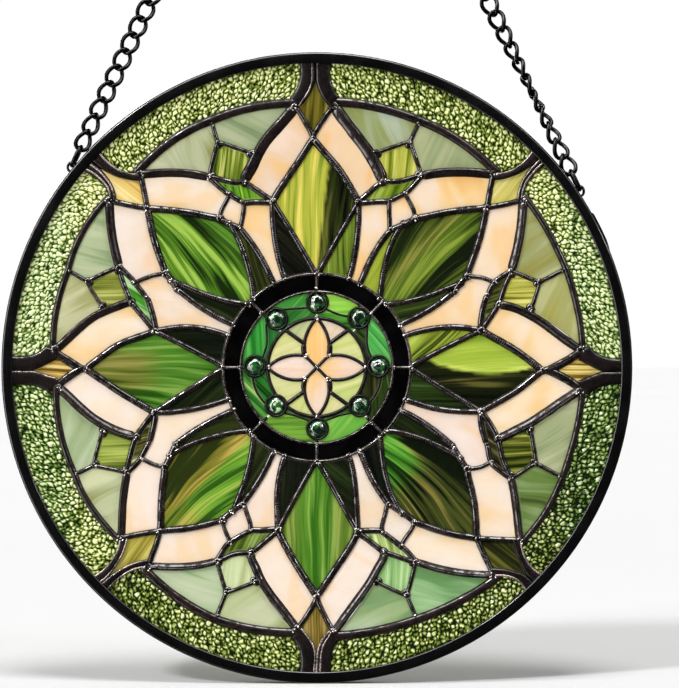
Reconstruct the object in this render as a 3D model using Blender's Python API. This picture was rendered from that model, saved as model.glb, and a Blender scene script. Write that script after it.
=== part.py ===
"""Round leaded-glass suncatcher: a floral rosette in a black rim, hung by two curb chains from one ring.

The panel is upright, facing -Y. Every outline of the rosette is worked out for one wedge, an eighth of the
disc between an upright axis and a diagonal, from named junctions of the leads, and is then turned and
mirrored round the disc. Lengths are in millimetres until a mesh is made, and in metres from there on.
"""

import math

import bmesh
import bpy
import numpy as np

MM = 0.001
GAP = 0.3  # clearance between neighbouring pieces
NEAR = 0.05  # a point this near a corner, as a share of a step, is left out

# The disc and its rim
DISC_RADIUS = 100.0
RIM_WIDTH = 3.0
RIM_DEPTH = 6.4
RIM_CHAMFER = 0.6
RIM_STEPS = 40
LAP_ANGLES = (60.5, 68.0)  # where one end of the rim strip laps over the other, clockwise from the top
LAP_PROUD = 0.5
LAP_ROOT = 1.0  # how deep the lap's solid reaches into the strip

GLASS_SIDE = (DISC_RADIUS - RIM_WIDTH) * math.cos(math.pi / RIM_STEPS) - GAP
NET_SIDE = GLASS_SIDE - 0.2  # a little less, so that the border glass leaves no lead outside it

# Glass and lead
GLASS_THICKNESS = 3.0
LEAD_DEPTH = 5.0
BEAD_FRONT = 2.4  # how far in front of the mid-plane the leads over a fused seam stand
THICK_LEAD = 2.3
MAIN_LEAD = 1.8
PLAIN_LEAD = 1.4
FINE_LEAD = 1.1

# Circles of the rosette, as the radii of their leads
BORDER_CIRCLE = 83.9
RING_OUTER = 29.7
RING_INNER = 24.8
GEM_CIRCLE = 19.5
FLOWER_CIRCLE = 15.6
RING_STEPS = 24

# The gems, each domed, with a collar of lead; a dome's rows are (share of its radius, height)
GEM_RADIUS = 2.6
GEM_DOME = ((1.0, 0.0), (1.0, 1.9), (0.72, 2.7), (0.36, 3.1))
GEM_SIDES = 6
COLLAR_RADII = (2.9, 3.8)
TAB_START = 22.7  # where the short lead from a collar to the black ring begins

# Angles of junctions on the circles, clockwise from straight up
SHOULDER_ANGLE = 4.6
DIVIDER_ANGLE = 21.9
FAR_SHOULDER_ANGLE = 40.2
SLIVER_ANGLE = 19.8
LEG_ANGLE = 27.1
FAR_LEAF_ANGLE = 42.5
BORDER_ANGLES = (5.0, 40.6)

# Junctions of the leads in the wedge: (across, up) from the middle of the disc
APEX = (0.0, 73.1)
VALLEY = (13.0, 52.6)
ARCH_FOOT = (21.0, 57.8)
TILE_TOP = (17.6, 67.2)
TILE_FAR = (29.6, 70.8)
TILE_FOOT = (32.6, 60.6)
LEG_TOP = (23.5, 54.1)
QUAD_TOP = (28.4, 57.0)
QUAD_FOOT = (24.0, 44.2)
LEAF_SHOULDER = (30.2, 48.0)
LEAF_TIP = (51.5, 51.5)

# Corners of the glass where the leads fan out to the rim
KITE_TIP = (0.0, 91.2)
KITE_SIDE = (5.5, 83.1)
KITE_FOOT = (0.0, 75.0)
FAR_KITE_TIP = (66.1, 66.1)
FAR_KITE_SIDE = (53.4, 61.5)
FAR_KITE_FOOT = (52.2, 52.2)
BORDER_START = (4.0, 96.6)
BORDER_START_FOOT = (7.4, 84.6)
BORDER_END = (66.1, 70.6)
BORDER_END_FOOT = (55.2, 64.4)

# The flower
PETAL_CORNER = (3.7, 3.7)
PETAL_BULGE = 1.6
SPLIT_START = (4.0, 7.6)
SPLIT_END = (10.1, 12.0)

# Hanging gear
HANG_DROP = 234.4  # from the point where a hook bears down to the middle of the disc
RING_HOLE = 6.0
RING_WIRE = 1.0
LOOP_ANGLES = {"left": -50.6, "right": 56.0}  # clockwise from the top
LOOP_RADIUS = 1.65
LOOP_WIRE = 0.4
LOOP_OUT = 0.25
LOOP_SPREAD = 125  # an eye's feet, in degrees either side of its crown
LOOP_STEPS = 7
LOOP_SIDES = 5
RING_WIRE_STEPS = 14
RING_WIRE_SIDES = 6
CHAIN_OUT = 0.75
FIRST_CROWN = 0.35  # from the seat of the chain to the first link's wire
LINK_PITCH = 5.56
LINK_WIRE = 0.62
LINK_HALF_WIDTH = 2.5
LINK_HOLD = 0.75  # distance between the crowns of two linked links
CURB_TWIST = math.radians(45)
CHAIN_TURN = (30, 15, 180)  # the right chain's turn: at its second link, its gain a link and its end
LINK_SIDES = 3
LINK_STEPS = 6


# ---------------------------------------------------------------- plane outlines

def on_circle(radius, degrees):
    """The point at this angle, clockwise from straight up."""
    angle = math.radians(degrees)
    return radius * math.sin(angle), radius * math.cos(angle)


def bowed(start, end, bow=0.0, steps=2):
    """Points along a circular arc that leaves its chord by bow, to the left when positive."""
    start, end = np.array(start), np.array(end)
    chord = end - start
    length = np.hypot(*chord)
    if not bow:
        return np.array([start, end])
    half_turn = 2 * math.atan(2 * bow / length)
    share = np.linspace(-1, 1, steps + 1)
    radius = length / 2 / math.sin(half_turn)
    along = radius * np.sin(half_turn * share)
    aside = radius * (np.cos(half_turn * share) - math.cos(half_turn))
    direction = chord / length
    left = np.array([-direction[1], direction[0]])
    return (start + end) / 2 + np.outer(along, direction) + np.outer(aside, left)


def arc(radius, start, end, steps):
    """Points on a circle about the middle of the disc, between two angles clockwise from straight up."""
    return np.array([on_circle(radius, a) for a in np.linspace(start, end, steps + 1)])


def shifted(points, distance):
    """The same run of points, moved to the right of its direction by distance."""
    step = np.diff(points, axis=0)
    step /= np.hypot(*step.T)[:, None]
    right = np.stack([step[:, 1], -step[:, 0]], axis=1)
    mean = np.vstack([right[:1], right[:-1] + right[1:], right[-1:]])
    mean /= np.hypot(*mean.T)[:, None]
    reach = np.ones(len(points))
    reach[1:-1] = 1 / np.einsum("ij,ij->i", mean[1:-1], right[1:])
    return points + mean * (distance * reach)[:, None]


def stretched(points, extra):
    """The same run of points, with both ends carried straight on by extra."""
    points = points.copy()
    for end, inner in ((0, 1), (-1, -2)):
        outward = points[end] - points[inner]
        points[end] += outward / np.hypot(*outward) * extra
    return points


def crossing(first, second, corner):
    """Where two runs of points cross nearest the corner: (place on first, place on second, point)."""
    best = None
    for i in range(len(first) - 1):
        for j in range(len(second) - 1):
            a, b = first[i + 1] - first[i], second[j + 1] - second[j]
            turn = a[0] * b[1] - a[1] * b[0]
            if abs(turn) < 1e-9:
                continue
            offset = second[j] - first[i]
            s = (offset[0] * b[1] - offset[1] * b[0]) / turn
            t = (offset[0] * a[1] - offset[1] * a[0]) / turn
            if not (0 <= s <= 1 and 0 <= t <= 1):
                continue
            point = first[i] + s * a
            distance = np.hypot(*(point - corner))
            if best is None or distance < best[0]:
                best = distance, i + s, j + t, point
    if best is None:
        return len(first) - 1, 0, (first[-1] + second[0]) / 2
    return best[1:]


def outline(sides, grow=0.0):
    """The closed outline inside these sides, each a run of points with the distance that it is set back."""
    overrun = THICK_LEAD + grow  # carries neighbouring sides on until they cross
    runs = [stretched(shifted(points, setback - grow), overrun) for points, setback in sides]
    corners = [
        crossing(runs[k - 1], runs[k], sides[k][0][0])
        for k in range(len(runs))
    ]
    result = []
    for k, run in enumerate(runs):
        start, point = corners[k][1], corners[k][2]
        end = corners[(k + 1) % len(runs)][0]
        result.append(point)
        result.extend(run[i] for i in range(1, len(run) - 1) if start + NEAR < i < end - NEAR)
    return np.array(result)


def back(side):
    """The side run the other way."""
    return side[0][::-1], side[1]


def across(side):
    """The side mirrored in the upright axis, and run the other way, so that the glass stays on its right."""
    return (side[0] * (-1, 1))[::-1], side[1]


def across_diagonal(side):
    """The side mirrored in the diagonal, and run the other way."""
    return side[0][::-1, ::-1], side[1]


def in_sector(points, sector):
    """Wedge points placed in one eighth of the disc. Sectors run clockwise; odd ones are mirrored."""
    quarter = (sector + 1) // 2 % 4
    points = points * (-1, 1) if sector % 2 else points
    angle = -math.pi / 2 * quarter
    turn = np.array([[math.cos(angle), math.sin(angle)], [-math.sin(angle), math.cos(angle)]])
    return points @ turn


# ---------------------------------------------------------------- the leads of one wedge

SHOULDER = on_circle(BORDER_CIRCLE, SHOULDER_ANGLE)
DIVIDER_TOP = on_circle(BORDER_CIRCLE, DIVIDER_ANGLE)
FAR_SHOULDER = on_circle(BORDER_CIRCLE, FAR_SHOULDER_ANGLE)
SLIVER_FOOT = on_circle(RING_OUTER, SLIVER_ANGLE)
LEG_FOOT = on_circle(RING_OUTER, LEG_ANGLE)
FAR_LEAF_FOOT = on_circle(RING_OUTER, FAR_LEAF_ANGLE)

KITE_EDGE = bowed(APEX, SHOULDER), PLAIN_LEAD / 2
ARCH_TOP = bowed(SHOULDER, TILE_TOP, 0.8), THICK_LEAD / 2
ARCH_SIDE = bowed(TILE_TOP, ARCH_FOOT), THICK_LEAD / 2
ARCH_END = bowed(ARCH_FOOT, VALLEY), PLAIN_LEAD / 2
ARCH_INNER = bowed(VALLEY, APEX), MAIN_LEAD / 2
LEAF_SIDE = bowed(VALLEY, (0.4, RING_OUTER)), PLAIN_LEAD / 2
SLIVER_SIDE = bowed(VALLEY, SLIVER_FOOT, 1.3), PLAIN_LEAD / 2
BLADE_TOP = bowed(ARCH_FOOT, TILE_FOOT), PLAIN_LEAD / 2
BLADE_FOOT = bowed(VALLEY, LEG_TOP), PLAIN_LEAD / 2
QUAD_EDGE = bowed(LEG_TOP, QUAD_TOP), PLAIN_LEAD / 2
BAND_START = bowed(QUAD_TOP, TILE_FOOT), PLAIN_LEAD / 2
BAND_TOP = bowed(TILE_FOOT, FAR_SHOULDER, 0.9), THICK_LEAD / 2
FAR_KITE_EDGE = bowed(FAR_SHOULDER, LEAF_TIP), PLAIN_LEAD / 2
FAR_LEAF_TOP = bowed(LEAF_TIP, LEAF_SHOULDER, -0.75), MAIN_LEAD / 2
FAR_LEAF_SIDE = bowed(LEAF_SHOULDER, FAR_LEAF_FOOT, -0.55), PLAIN_LEAD / 2
LEG_TURN = bowed(LEAF_SHOULDER, QUAD_FOOT), MAIN_LEAD / 2
LEG_SIDE = bowed(QUAD_FOOT, LEG_FOOT, -1.1), MAIN_LEAD / 2
QUAD_SEAM = bowed(LEG_TOP, QUAD_FOOT), FINE_LEAD / 2
BAND_SEAM = bowed(QUAD_TOP, LEAF_SHOULDER), FINE_LEAD / 2
TILE_EDGE = np.array([TILE_TOP, TILE_FAR, TILE_FOOT]), FINE_LEAD / 2
DIVIDER = bowed(TILE_FAR, DIVIDER_TOP), FINE_LEAD / 2


def border_sides():
    """The hammered border glass, from the upright horn to the diagonal one."""
    start, end = (math.degrees(math.atan2(*p)) for p in (BORDER_START, BORDER_END))
    rim = arc(GLASS_SIDE, start, end, 4), 0.0
    far_horn = bowed(rim[0][-1], BORDER_END_FOOT, 1.6), 0.0
    inner = arc(BORDER_CIRCLE + PLAIN_LEAD / 2, *BORDER_ANGLES[::-1], 3), 0.0
    horn = bowed(BORDER_START_FOOT, rim[0][0], 1.0), 0.0
    return [rim, far_horn, inner, horn]


def kite_sides():
    upper = bowed(KITE_TIP, KITE_SIDE), 0.0
    lower = bowed(KITE_SIDE, KITE_FOOT), 0.0
    return [upper, lower, across(lower), across(upper)]


def far_kite_sides():
    upper = bowed(FAR_KITE_SIDE, FAR_KITE_TIP, -0.9), 0.0
    lower = bowed(FAR_KITE_FOOT, FAR_KITE_SIDE), 0.0
    return [lower, upper, across_diagonal(upper), across_diagonal(lower)]


def arch_sides():
    return [KITE_EDGE, ARCH_TOP, ARCH_SIDE, ARCH_END, ARCH_INNER]


def leaf_sides():
    """A leaf on an upright axis, with the dark sliver on each side of its foot."""
    foot = arc(RING_OUTER, SLIVER_ANGLE, -SLIVER_ANGLE, 4), FINE_LEAD / 2
    side = SLIVER_SIDE
    return [back(ARCH_INNER), side, foot, across(side), across(back(ARCH_INNER))]


def far_leaf_sides():
    """A leaf on a diagonal, with the dark sliver on each side of it."""
    foot = arc(RING_OUTER, 90 - LEG_ANGLE, LEG_ANGLE, 3), FINE_LEAD / 2
    half = [back(LEG_SIDE), back(LEG_TURN), back(FAR_LEAF_TOP)]
    return half + [across_diagonal(s) for s in reversed(half)] + [foot]


def far_arch_sides():
    """The cream leg, quad and band beside a diagonal leaf."""
    foot = arc(RING_OUTER, LEG_ANGLE, SLIVER_ANGLE, 1), FINE_LEAD / 2
    upper = [BLADE_FOOT, QUAD_EDGE, BAND_START, BAND_TOP, FAR_KITE_EDGE]
    return upper + [FAR_LEAF_TOP, LEG_TURN, LEG_SIDE, foot, back(SLIVER_SIDE)]


def ground_sides():
    """The two pale pieces under the border circle, the square tile between them and the blade below it."""
    circle = arc(BORDER_CIRCLE, SHOULDER_ANGLE, FAR_SHOULDER_ANGLE, 3), PLAIN_LEAD / 2
    return [
        circle, back(BAND_TOP), back(BAND_START), back(QUAD_EDGE), back(BLADE_FOOT),
        back(ARCH_END), back(ARCH_SIDE), back(ARCH_TOP),
    ]


PETAL_SIDE = bowed((0.0, FLOWER_CIRCLE), PETAL_CORNER, PETAL_BULGE, 3), FINE_LEAD / 2


def petal_sides():
    """The four petals together: each side runs from a tip in to the diagonal and out to the next tip."""
    quarter = [PETAL_SIDE, across_diagonal(PETAL_SIDE)]
    return [(in_sector(points, 2 * q), setback) for q in range(4) for points, setback in quarter]


def flower_ground_sides():
    """The two pale pieces between the top petal and the one right of it."""
    circle = arc(FLOWER_CIRCLE, 0, 90, 5), FINE_LEAD / 2
    return [circle, back(across_diagonal(PETAL_SIDE)), back(PETAL_SIDE)]


# ---------------------------------------------------------------- meshes

def material(name, colour, roughness, metallic=0.0):
    made = bpy.data.materials.new(name)
    made.use_nodes = True
    shader = made.node_tree.nodes["Principled BSDF"]
    shader.inputs["Base Color"].default_value = (*colour, 1.0)
    shader.inputs["Roughness"].default_value = roughness
    shader.inputs["Metallic"].default_value = metallic
    return made


def add_object(name, work, finish):
    """A closed bmesh, in millimetres about the hanging point, made an object in metres."""
    bmesh.ops.scale(work, vec=(MM, MM, MM), verts=work.verts)
    bmesh.ops.recalc_face_normals(work, faces=work.faces)
    mesh = bpy.data.meshes.new(name)
    work.to_mesh(mesh)
    work.free()
    made = bpy.data.objects.new(name, mesh)
    bpy.context.scene.collection.objects.link(made)
    if finish:
        mesh.materials.append(finish)
    return made


def helper(name, work):
    """A cutter or an addition for a Boolean, which isn't a piece itself."""
    made = add_object(name, work, None)
    made.hide_render = True
    made.display_type = "WIRE"
    return made


def add_loops(work, loops):
    """Closed loops of points joined in order, as a tube; the last joins the first when they close a ring."""
    rings = [[work.verts.new(p) for p in loop] for loop in loops]
    count = len(rings[0])
    for near, far in zip(rings, rings[1:]):
        for k in range(count):
            work.faces.new((near[k], near[(k + 1) % count], far[(k + 1) % count], far[k]))
    return rings


def add_ring_tube(work, loops):
    rings = add_loops(work, loops)
    count = len(rings[0])
    for k in range(count):
        work.faces.new((rings[-1][k], rings[-1][(k + 1) % count], rings[0][(k + 1) % count], rings[0][k]))


def add_capped_tube(work, loops):
    rings = add_loops(work, loops)
    work.faces.new(rings[0])
    work.faces.new(rings[-1])


def upright(points, depth):
    """Plane points of the disc as points in space at this depth, with the hanging point as origin."""
    return [(x, depth, z - HANG_DROP) for x, z in points]


def add_slab(work, points, front, rear):
    """A flat piece with this outline, between two depths."""
    add_capped_tube(work, [upright(points, front), upright(points, rear)])


def add_washer(work, inner, outer, front, rear):
    """A flat ring between two outlines that have the same number of points."""
    loops = [upright(inner, front), upright(outer, front), upright(outer, rear), upright(inner, rear)]
    add_ring_tube(work, loops)


def full_circle(radius, steps):
    return arc(radius, 0, 360, steps)[:-1]


def ring_circle(radius):
    return full_circle(radius, RING_STEPS)


def ribbon(points, width):
    """The outline of a strip of this width along a run of points."""
    return np.vstack([shifted(points, width / 2), shifted(points, -width / 2)[::-1]])


def boolean(target, operation, other):
    cut = target.modifiers.new(other.name, "BOOLEAN")
    cut.operation = operation
    cut.object = other
    cut.use_self = True


# ---------------------------------------------------------------- the glass

GLASS_FRONT = -GLASS_THICKNESS / 2
GLASS_REAR = GLASS_THICKNESS / 2
CUT_FRONT = -LEAD_DEPTH
CUT_REAR = LEAD_DEPTH
QUARTER_NAMES = ("top", "right", "bottom", "left")
CORNER_NAMES = ("upper_right", "lower_right", "lower_left", "upper_left")
SECTOR_NAMES = (
    "top_right", "right_upper", "right_lower", "bottom_right",
    "bottom_left", "left_lower", "left_upper", "top_left",
)
NEXT_TO_UPRIGHT = (0, 3, 4, 7)  # the sectors beside the top and the bottom leaf

BORDER_FINISH = material("hammered_green_glass", (0.30, 0.42, 0.10), 0.15)
LEAF_FINISH = material("leaf_green_glass", (0.12, 0.26, 0.03), 0.12)
KITE_FINISH = material("amber_glass", (0.55, 0.38, 0.06), 0.12)
CREAM_FINISH = material("cream_glass", (0.90, 0.72, 0.52), 0.15)
GROUND_FINISH = material("pale_green_glass", (0.42, 0.52, 0.36), 0.15)
BLACK_FINISH = material("black_glass", (0.01, 0.01, 0.01), 0.08)
RING_FINISH = material("vivid_green_glass", (0.08, 0.33, 0.04), 0.10)
PETAL_FINISH = material("peach_glass", (0.93, 0.66, 0.36), 0.15)
FLOWER_GROUND_FINISH = material("lime_cream_glass", (0.78, 0.80, 0.42), 0.15)
LEAD_FINISH = material("dark_patinated_lead", (0.09, 0.08, 0.08), 0.35, 0.8)
RIM_FINISH = material("black_painted_rim", (0.005, 0.005, 0.006), 0.4)
CHAIN_FINISH = material("black_chain", (0.01, 0.01, 0.01), 0.2, 0.6)


def placed_cells():
    """Every glass piece that stands in an opening of its own: (name, sides, sector, finish)."""
    cells = []
    for sector, place in enumerate(SECTOR_NAMES):
        cells.append(("border_glass_" + place, border_sides(), sector, BORDER_FINISH))
        cells.append(("arch_glass_" + place, arch_sides(), sector, CREAM_FINISH))
        cells.append(("leg_band_glass_" + place, far_arch_sides(), sector, CREAM_FINISH))
        cells.append(("ground_glass_" + place, ground_sides(), sector, GROUND_FINISH))
    for quarter, (place, corner) in enumerate(zip(QUARTER_NAMES, CORNER_NAMES)):
        sector = 2 * quarter
        cells.append(("kite_glass_" + place, kite_sides(), sector, KITE_FINISH))
        cells.append(("kite_glass_" + corner, far_kite_sides(), sector, KITE_FINISH))
        cells.append(("leaf_glass_" + place, leaf_sides(), sector, LEAF_FINISH))
        cells.append(("leaf_glass_" + corner, far_leaf_sides(), sector, LEAF_FINISH))
        cells.append(("flower_ground_" + corner, flower_ground_sides(), sector, FLOWER_GROUND_FINISH))
    cells.append(("flower_petals", petal_sides(), 0, PETAL_FINISH))
    return cells


def make_cells(openings):
    for name, sides, sector, finish in placed_cells():
        piece = bmesh.new()
        add_slab(piece, in_sector(outline(sides), sector), GLASS_FRONT, GLASS_REAR)
        add_object(name, piece, finish)
        add_slab(openings, in_sector(outline(sides, GAP), sector), CUT_FRONT, CUT_REAR)


def make_rings(openings):
    """The black ring and the green ring, each in one piece with its joints fused, and the opening of each."""
    inset = FINE_LEAD / 2
    spans = {
        "black_ring_glass": (RING_INNER + inset, RING_OUTER - inset, BLACK_FINISH),
        "green_ring_glass": (FLOWER_CIRCLE + inset, RING_INNER - inset, RING_FINISH),
    }
    made = {}
    for name, (inner, outer, finish) in spans.items():
        piece = bmesh.new()
        add_washer(piece, ring_circle(inner), ring_circle(outer), GLASS_FRONT, GLASS_REAR)
        made[name] = add_object(name, piece, finish)
        add_washer(openings, ring_circle(inner - GAP), ring_circle(outer + GAP), CUT_FRONT, CUT_REAR)
    return made["green_ring_glass"]


def gem_centres():
    return [np.array(on_circle(GEM_CIRCLE, 45 * k)) for k in range(8)]


def make_gems(ring):
    """Eight domed nuggets fused to the green ring that they stand in."""
    gems = bmesh.new()
    for centre in gem_centres():
        loops = [
            upright(full_circle(GEM_RADIUS * share, GEM_SIDES) + centre, -height)
            for share, height in GEM_DOME
        ]
        add_capped_tube(gems, loops)
    boolean(ring, "UNION", helper("gems", gems))


# ---------------------------------------------------------------- the lead

def seams():
    """The leads that cross the face of a fused piece: (points, width, sector)."""
    found = []
    for sector in range(8):
        for points, half in (LEAF_SIDE, FAR_LEAF_SIDE, BAND_SEAM, TILE_EDGE, DIVIDER, BLADE_TOP):
            found.append((points, 2 * half, sector))
        if sector in NEXT_TO_UPRIGHT:
            found.append((QUAD_SEAM[0], FINE_LEAD, sector))
            found.append((bowed(SPLIT_START, SPLIT_END), FINE_LEAD, sector))
    for quarter in range(4):
        for angle in (0, 45):
            joint = np.array([on_circle(r, angle) for r in (RING_INNER, RING_OUTER)])
            found.append((joint, FINE_LEAD, 2 * quarter))
            tab = np.array([on_circle(r, angle) for r in (TAB_START, RING_INNER)])
            found.append((tab, FINE_LEAD, 2 * quarter))
    corner = np.array(PETAL_CORNER)
    found.append((np.array([-corner, corner]), FINE_LEAD, 0))
    found.append((np.array([-corner, corner]), FINE_LEAD, 2))
    return found


def make_lead(openings):
    """The lead net: a plate with an opening for each piece, and the leads that stand over the fused seams."""
    plate = bmesh.new()
    add_slab(plate, full_circle(NET_SIDE, RIM_STEPS), -LEAD_DEPTH / 2, LEAD_DEPTH / 2)
    net = add_object("lead_net", plate, LEAD_FINISH)
    boolean(net, "DIFFERENCE", helper("openings", openings))
    raised = bmesh.new()
    behind = GLASS_FRONT - GAP
    for points, width, sector in seams():
        add_slab(raised, in_sector(ribbon(points, width), sector), -BEAD_FRONT, behind)
    for centre in gem_centres():
        inner, outer = (full_circle(radius, GEM_SIDES) + centre for radius in COLLAR_RADII)
        add_washer(raised, inner, outer, -BEAD_FRONT, behind)
    boolean(net, "UNION", helper("raised_leads", raised))


# ---------------------------------------------------------------- rim, chains and ring

def full_turn(steps):
    return [2 * math.pi * k / steps for k in range(steps)]


def make_rim():
    """The black strip round the glass, lapped at its joint, with an eye on each side for the chains."""
    inner, half = DISC_RADIUS - RIM_WIDTH, RIM_DEPTH / 2
    edge = DISC_RADIUS - RIM_CHAMFER
    profile = (
        (inner, -half), (edge, -half), (DISC_RADIUS, RIM_CHAMFER - half),
        (DISC_RADIUS, half - RIM_CHAMFER), (edge, half), (inner, half),
    )
    strip = bmesh.new()
    loops = []
    for step in range(RIM_STEPS):
        spot = np.array(on_circle(1.0, 360 * step / RIM_STEPS))
        loops.append([upright([spot * radius], depth)[0] for radius, depth in profile])
    add_ring_tube(strip, loops)
    rim = add_object("rim", strip, RIM_FINISH)

    added = bmesh.new()
    low, high = DISC_RADIUS - LAP_ROOT, DISC_RADIUS + LAP_PROUD
    lap = np.vstack([arc(high, *LAP_ANGLES, 2), arc(low, *LAP_ANGLES[::-1], 2)])
    add_slab(added, lap, RIM_CHAMFER - half, half - RIM_CHAMFER)
    for angle in LOOP_ANGLES.values():
        add_loop(added, angle)
    boolean(rim, "UNION", helper("lap_and_loops", added))


def add_loop(work, angle):
    """A wire eye standing on the rim in the plane of the disc, both feet sunk in the rim."""
    middle = np.array(on_circle(DISC_RADIUS + LOOP_OUT, angle))
    loops = []
    for turn in np.linspace(-LOOP_SPREAD, LOOP_SPREAD, LOOP_STEPS + 1):
        out = np.array(on_circle(1.0, angle + turn))
        loops.append([
            upright([middle + out * (LOOP_RADIUS + LOOP_WIRE * math.cos(a))], LOOP_WIRE * math.sin(a))[0]
            for a in full_turn(LOOP_SIDES)
        ])
    add_capped_tube(work, loops)


def add_link(work, centre, along, aside, half_length, turn, twist):
    """One link: an oval about its centre whose two ends are twisted opposite ways, as curb links are."""
    depth = np.array([0.0, 1.0, 0.0])
    path = []
    for step in range(LINK_STEPS):
        angle = 2 * math.pi * (step + 0.5) / LINK_STEPS
        reach = math.cos(angle) / math.cos(math.pi / LINK_STEPS)
        lean = turn + twist * reach
        side = math.cos(lean) * aside + math.sin(lean) * depth
        path.append(centre + along * (half_length * reach) + side * (LINK_HALF_WIDTH * math.sin(angle)))
    loops = []
    for step in range(LINK_STEPS):
        tangent = path[(step + 1) % LINK_STEPS] - path[step - 1]
        tangent /= np.linalg.norm(tangent)
        inward = centre - path[step]
        inward -= tangent * inward.dot(tangent)
        inward /= np.linalg.norm(inward)
        across_wire = np.cross(tangent, inward)
        loops.append([
            tuple(path[step] + LINK_WIRE * (math.cos(a) * inward + math.sin(a) * across_wire))
            for a in full_turn(LINK_SIDES)
        ])
    add_ring_tube(work, loops)


def link_turn(side, k):
    """How far a link is turned about the chain, the right one of which starts with half a turn."""
    if side == "left":
        return 0.0
    start, gain, end = CHAIN_TURN
    return math.radians(min(end, start + gain * (k - 1)))


def make_chain(side):
    """A curb chain from the eye on the rim up to the hanging ring; its end links are plain and edge-on."""
    seat = np.array(upright([on_circle(DISC_RADIUS + CHAIN_OUT, LOOP_ANGLES[side])], 0.0)[0])
    ring_middle = np.array([0.0, 0.0, -RING_HOLE])
    span = ring_middle - seat
    length = np.linalg.norm(span)
    along = span / length
    aside = np.array([along[2], 0.0, -along[0]])
    last_crown = length - (RING_HOLE - GAP - LINK_WIRE)
    count = round((last_crown - FIRST_CROWN - LINK_HOLD) / LINK_PITCH)
    pitch = (last_crown - FIRST_CROWN - LINK_HOLD) / count
    half_length = (pitch + LINK_HOLD) / 2
    sets = bmesh.new(), bmesh.new()
    for k in range(count):
        centre = seat + along * (FIRST_CROWN + half_length + k * pitch)
        at_end = k in (0, count - 1)
        turn = math.pi / 2 if at_end else link_turn(side, k)
        twist = 0.0 if at_end else CURB_TWIST
        add_link(sets[k % 2], centre, along, aside, half_length, turn, twist)
    chain = add_object("chain_" + side, sets[0], CHAIN_FINISH)
    boolean(chain, "UNION", helper("chain_other_links_" + side, sets[1]))


def make_hanging_ring():
    """The round wire ring; a hook bears at the top of its hole, which is the origin."""
    work = bmesh.new()
    loops = []
    for step in range(RING_WIRE_STEPS):
        out = np.array(on_circle(1.0, 360 * step / RING_WIRE_STEPS))
        loop = []
        for angle in full_turn(RING_WIRE_SIDES):
            x, z = out * (RING_HOLE + RING_WIRE + RING_WIRE * math.cos(angle))
            loop.append((x, RING_WIRE * math.sin(angle), z - RING_HOLE))
        loops.append(loop)
    add_ring_tube(work, loops)
    add_object("hanging_ring", work, CHAIN_FINISH)


def clear_scene():
    for thing in list(bpy.data.objects):
        bpy.data.objects.remove(thing, do_unlink=True)


def main():
    clear_scene()
    openings = bmesh.new()
    make_cells(openings)
    make_gems(make_rings(openings))
    make_lead(openings)
    make_rim()
    for side in LOOP_ANGLES:
        make_chain(side)
    make_hanging_ring()


main()
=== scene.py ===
"""Looks of the round leaded-glass suncatcher: its glass, leads, rim and chains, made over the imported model.

Shapes are worked out in millimetres about the middle of the disc, as (across, up) in its plane with depth
from front (negative) to back, and are put in place from the rim's own box. One wedge of the rosette, an
eighth of the disc between an upright axis and a diagonal, is turned and mirrored round the disc.
"""

import math

import bmesh
import bpy
import numpy as np
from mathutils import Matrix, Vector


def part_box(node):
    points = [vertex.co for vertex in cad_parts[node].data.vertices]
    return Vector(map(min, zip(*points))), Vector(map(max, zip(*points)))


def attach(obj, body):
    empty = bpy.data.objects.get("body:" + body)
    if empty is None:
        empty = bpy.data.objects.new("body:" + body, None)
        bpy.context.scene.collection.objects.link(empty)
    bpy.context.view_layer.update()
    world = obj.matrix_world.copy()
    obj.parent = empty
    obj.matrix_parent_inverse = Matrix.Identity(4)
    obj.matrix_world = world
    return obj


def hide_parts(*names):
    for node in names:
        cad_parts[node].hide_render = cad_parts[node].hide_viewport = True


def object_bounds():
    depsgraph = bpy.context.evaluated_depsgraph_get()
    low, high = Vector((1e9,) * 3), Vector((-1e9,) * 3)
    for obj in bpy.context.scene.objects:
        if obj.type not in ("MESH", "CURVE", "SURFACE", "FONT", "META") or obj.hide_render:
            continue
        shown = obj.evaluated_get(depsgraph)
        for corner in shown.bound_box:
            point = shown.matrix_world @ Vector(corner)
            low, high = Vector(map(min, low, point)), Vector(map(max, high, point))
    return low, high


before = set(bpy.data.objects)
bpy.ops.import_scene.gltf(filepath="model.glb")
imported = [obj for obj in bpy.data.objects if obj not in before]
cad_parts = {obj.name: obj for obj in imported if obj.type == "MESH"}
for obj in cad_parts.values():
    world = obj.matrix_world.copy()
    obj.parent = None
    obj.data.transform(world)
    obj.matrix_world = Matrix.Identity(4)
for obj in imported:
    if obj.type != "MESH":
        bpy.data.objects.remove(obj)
CAD_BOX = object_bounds()

RIM_LOW, RIM_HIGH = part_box("rim")
MM = (RIM_HIGH.x - RIM_LOW.x) / 200  # the rim is 200 mm across
MIDDLE = np.array((RIM_LOW + RIM_HIGH) / 2)
SEED = 41

# Depths, from the middle plane of the glass
GLASS_FRONT = -1.5
GLASS_REAR = 1.5
GLASS_CROWN = 0.18  # how far the middle of a piece stands out at the front, and at the rear
GLASS_REAR_CROWN = 0.08
FRONT = -1.35  # where the beads of the leads start, just inside the glass
REAR = 1.35
PIPING_BASE = -2.3  # where piping starts, inside the lead that carries it
RIM_HALF = 3.2
TUCK = 0.3  # how far a piece of glass reaches under the edge of its lead

# Widths of the leads
THICK_LEAD = 2.3
MAIN_LEAD = 1.8
PLAIN_LEAD = 1.4
FINE_LEAD = 1.1
RIB_PITCH = 0.75  # of the milled marks across a lead

# Radii
DISC = 100.0
RIM_INSIDE = 96.4
BORDER_CIRCLE = 83.9
RING_OUTER = 29.7
RING_INNER = 24.8
FLOWER_CIRCLE = 15.6
GEM_FACE = 2.9
GEM_COLLAR = 3.25

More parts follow.
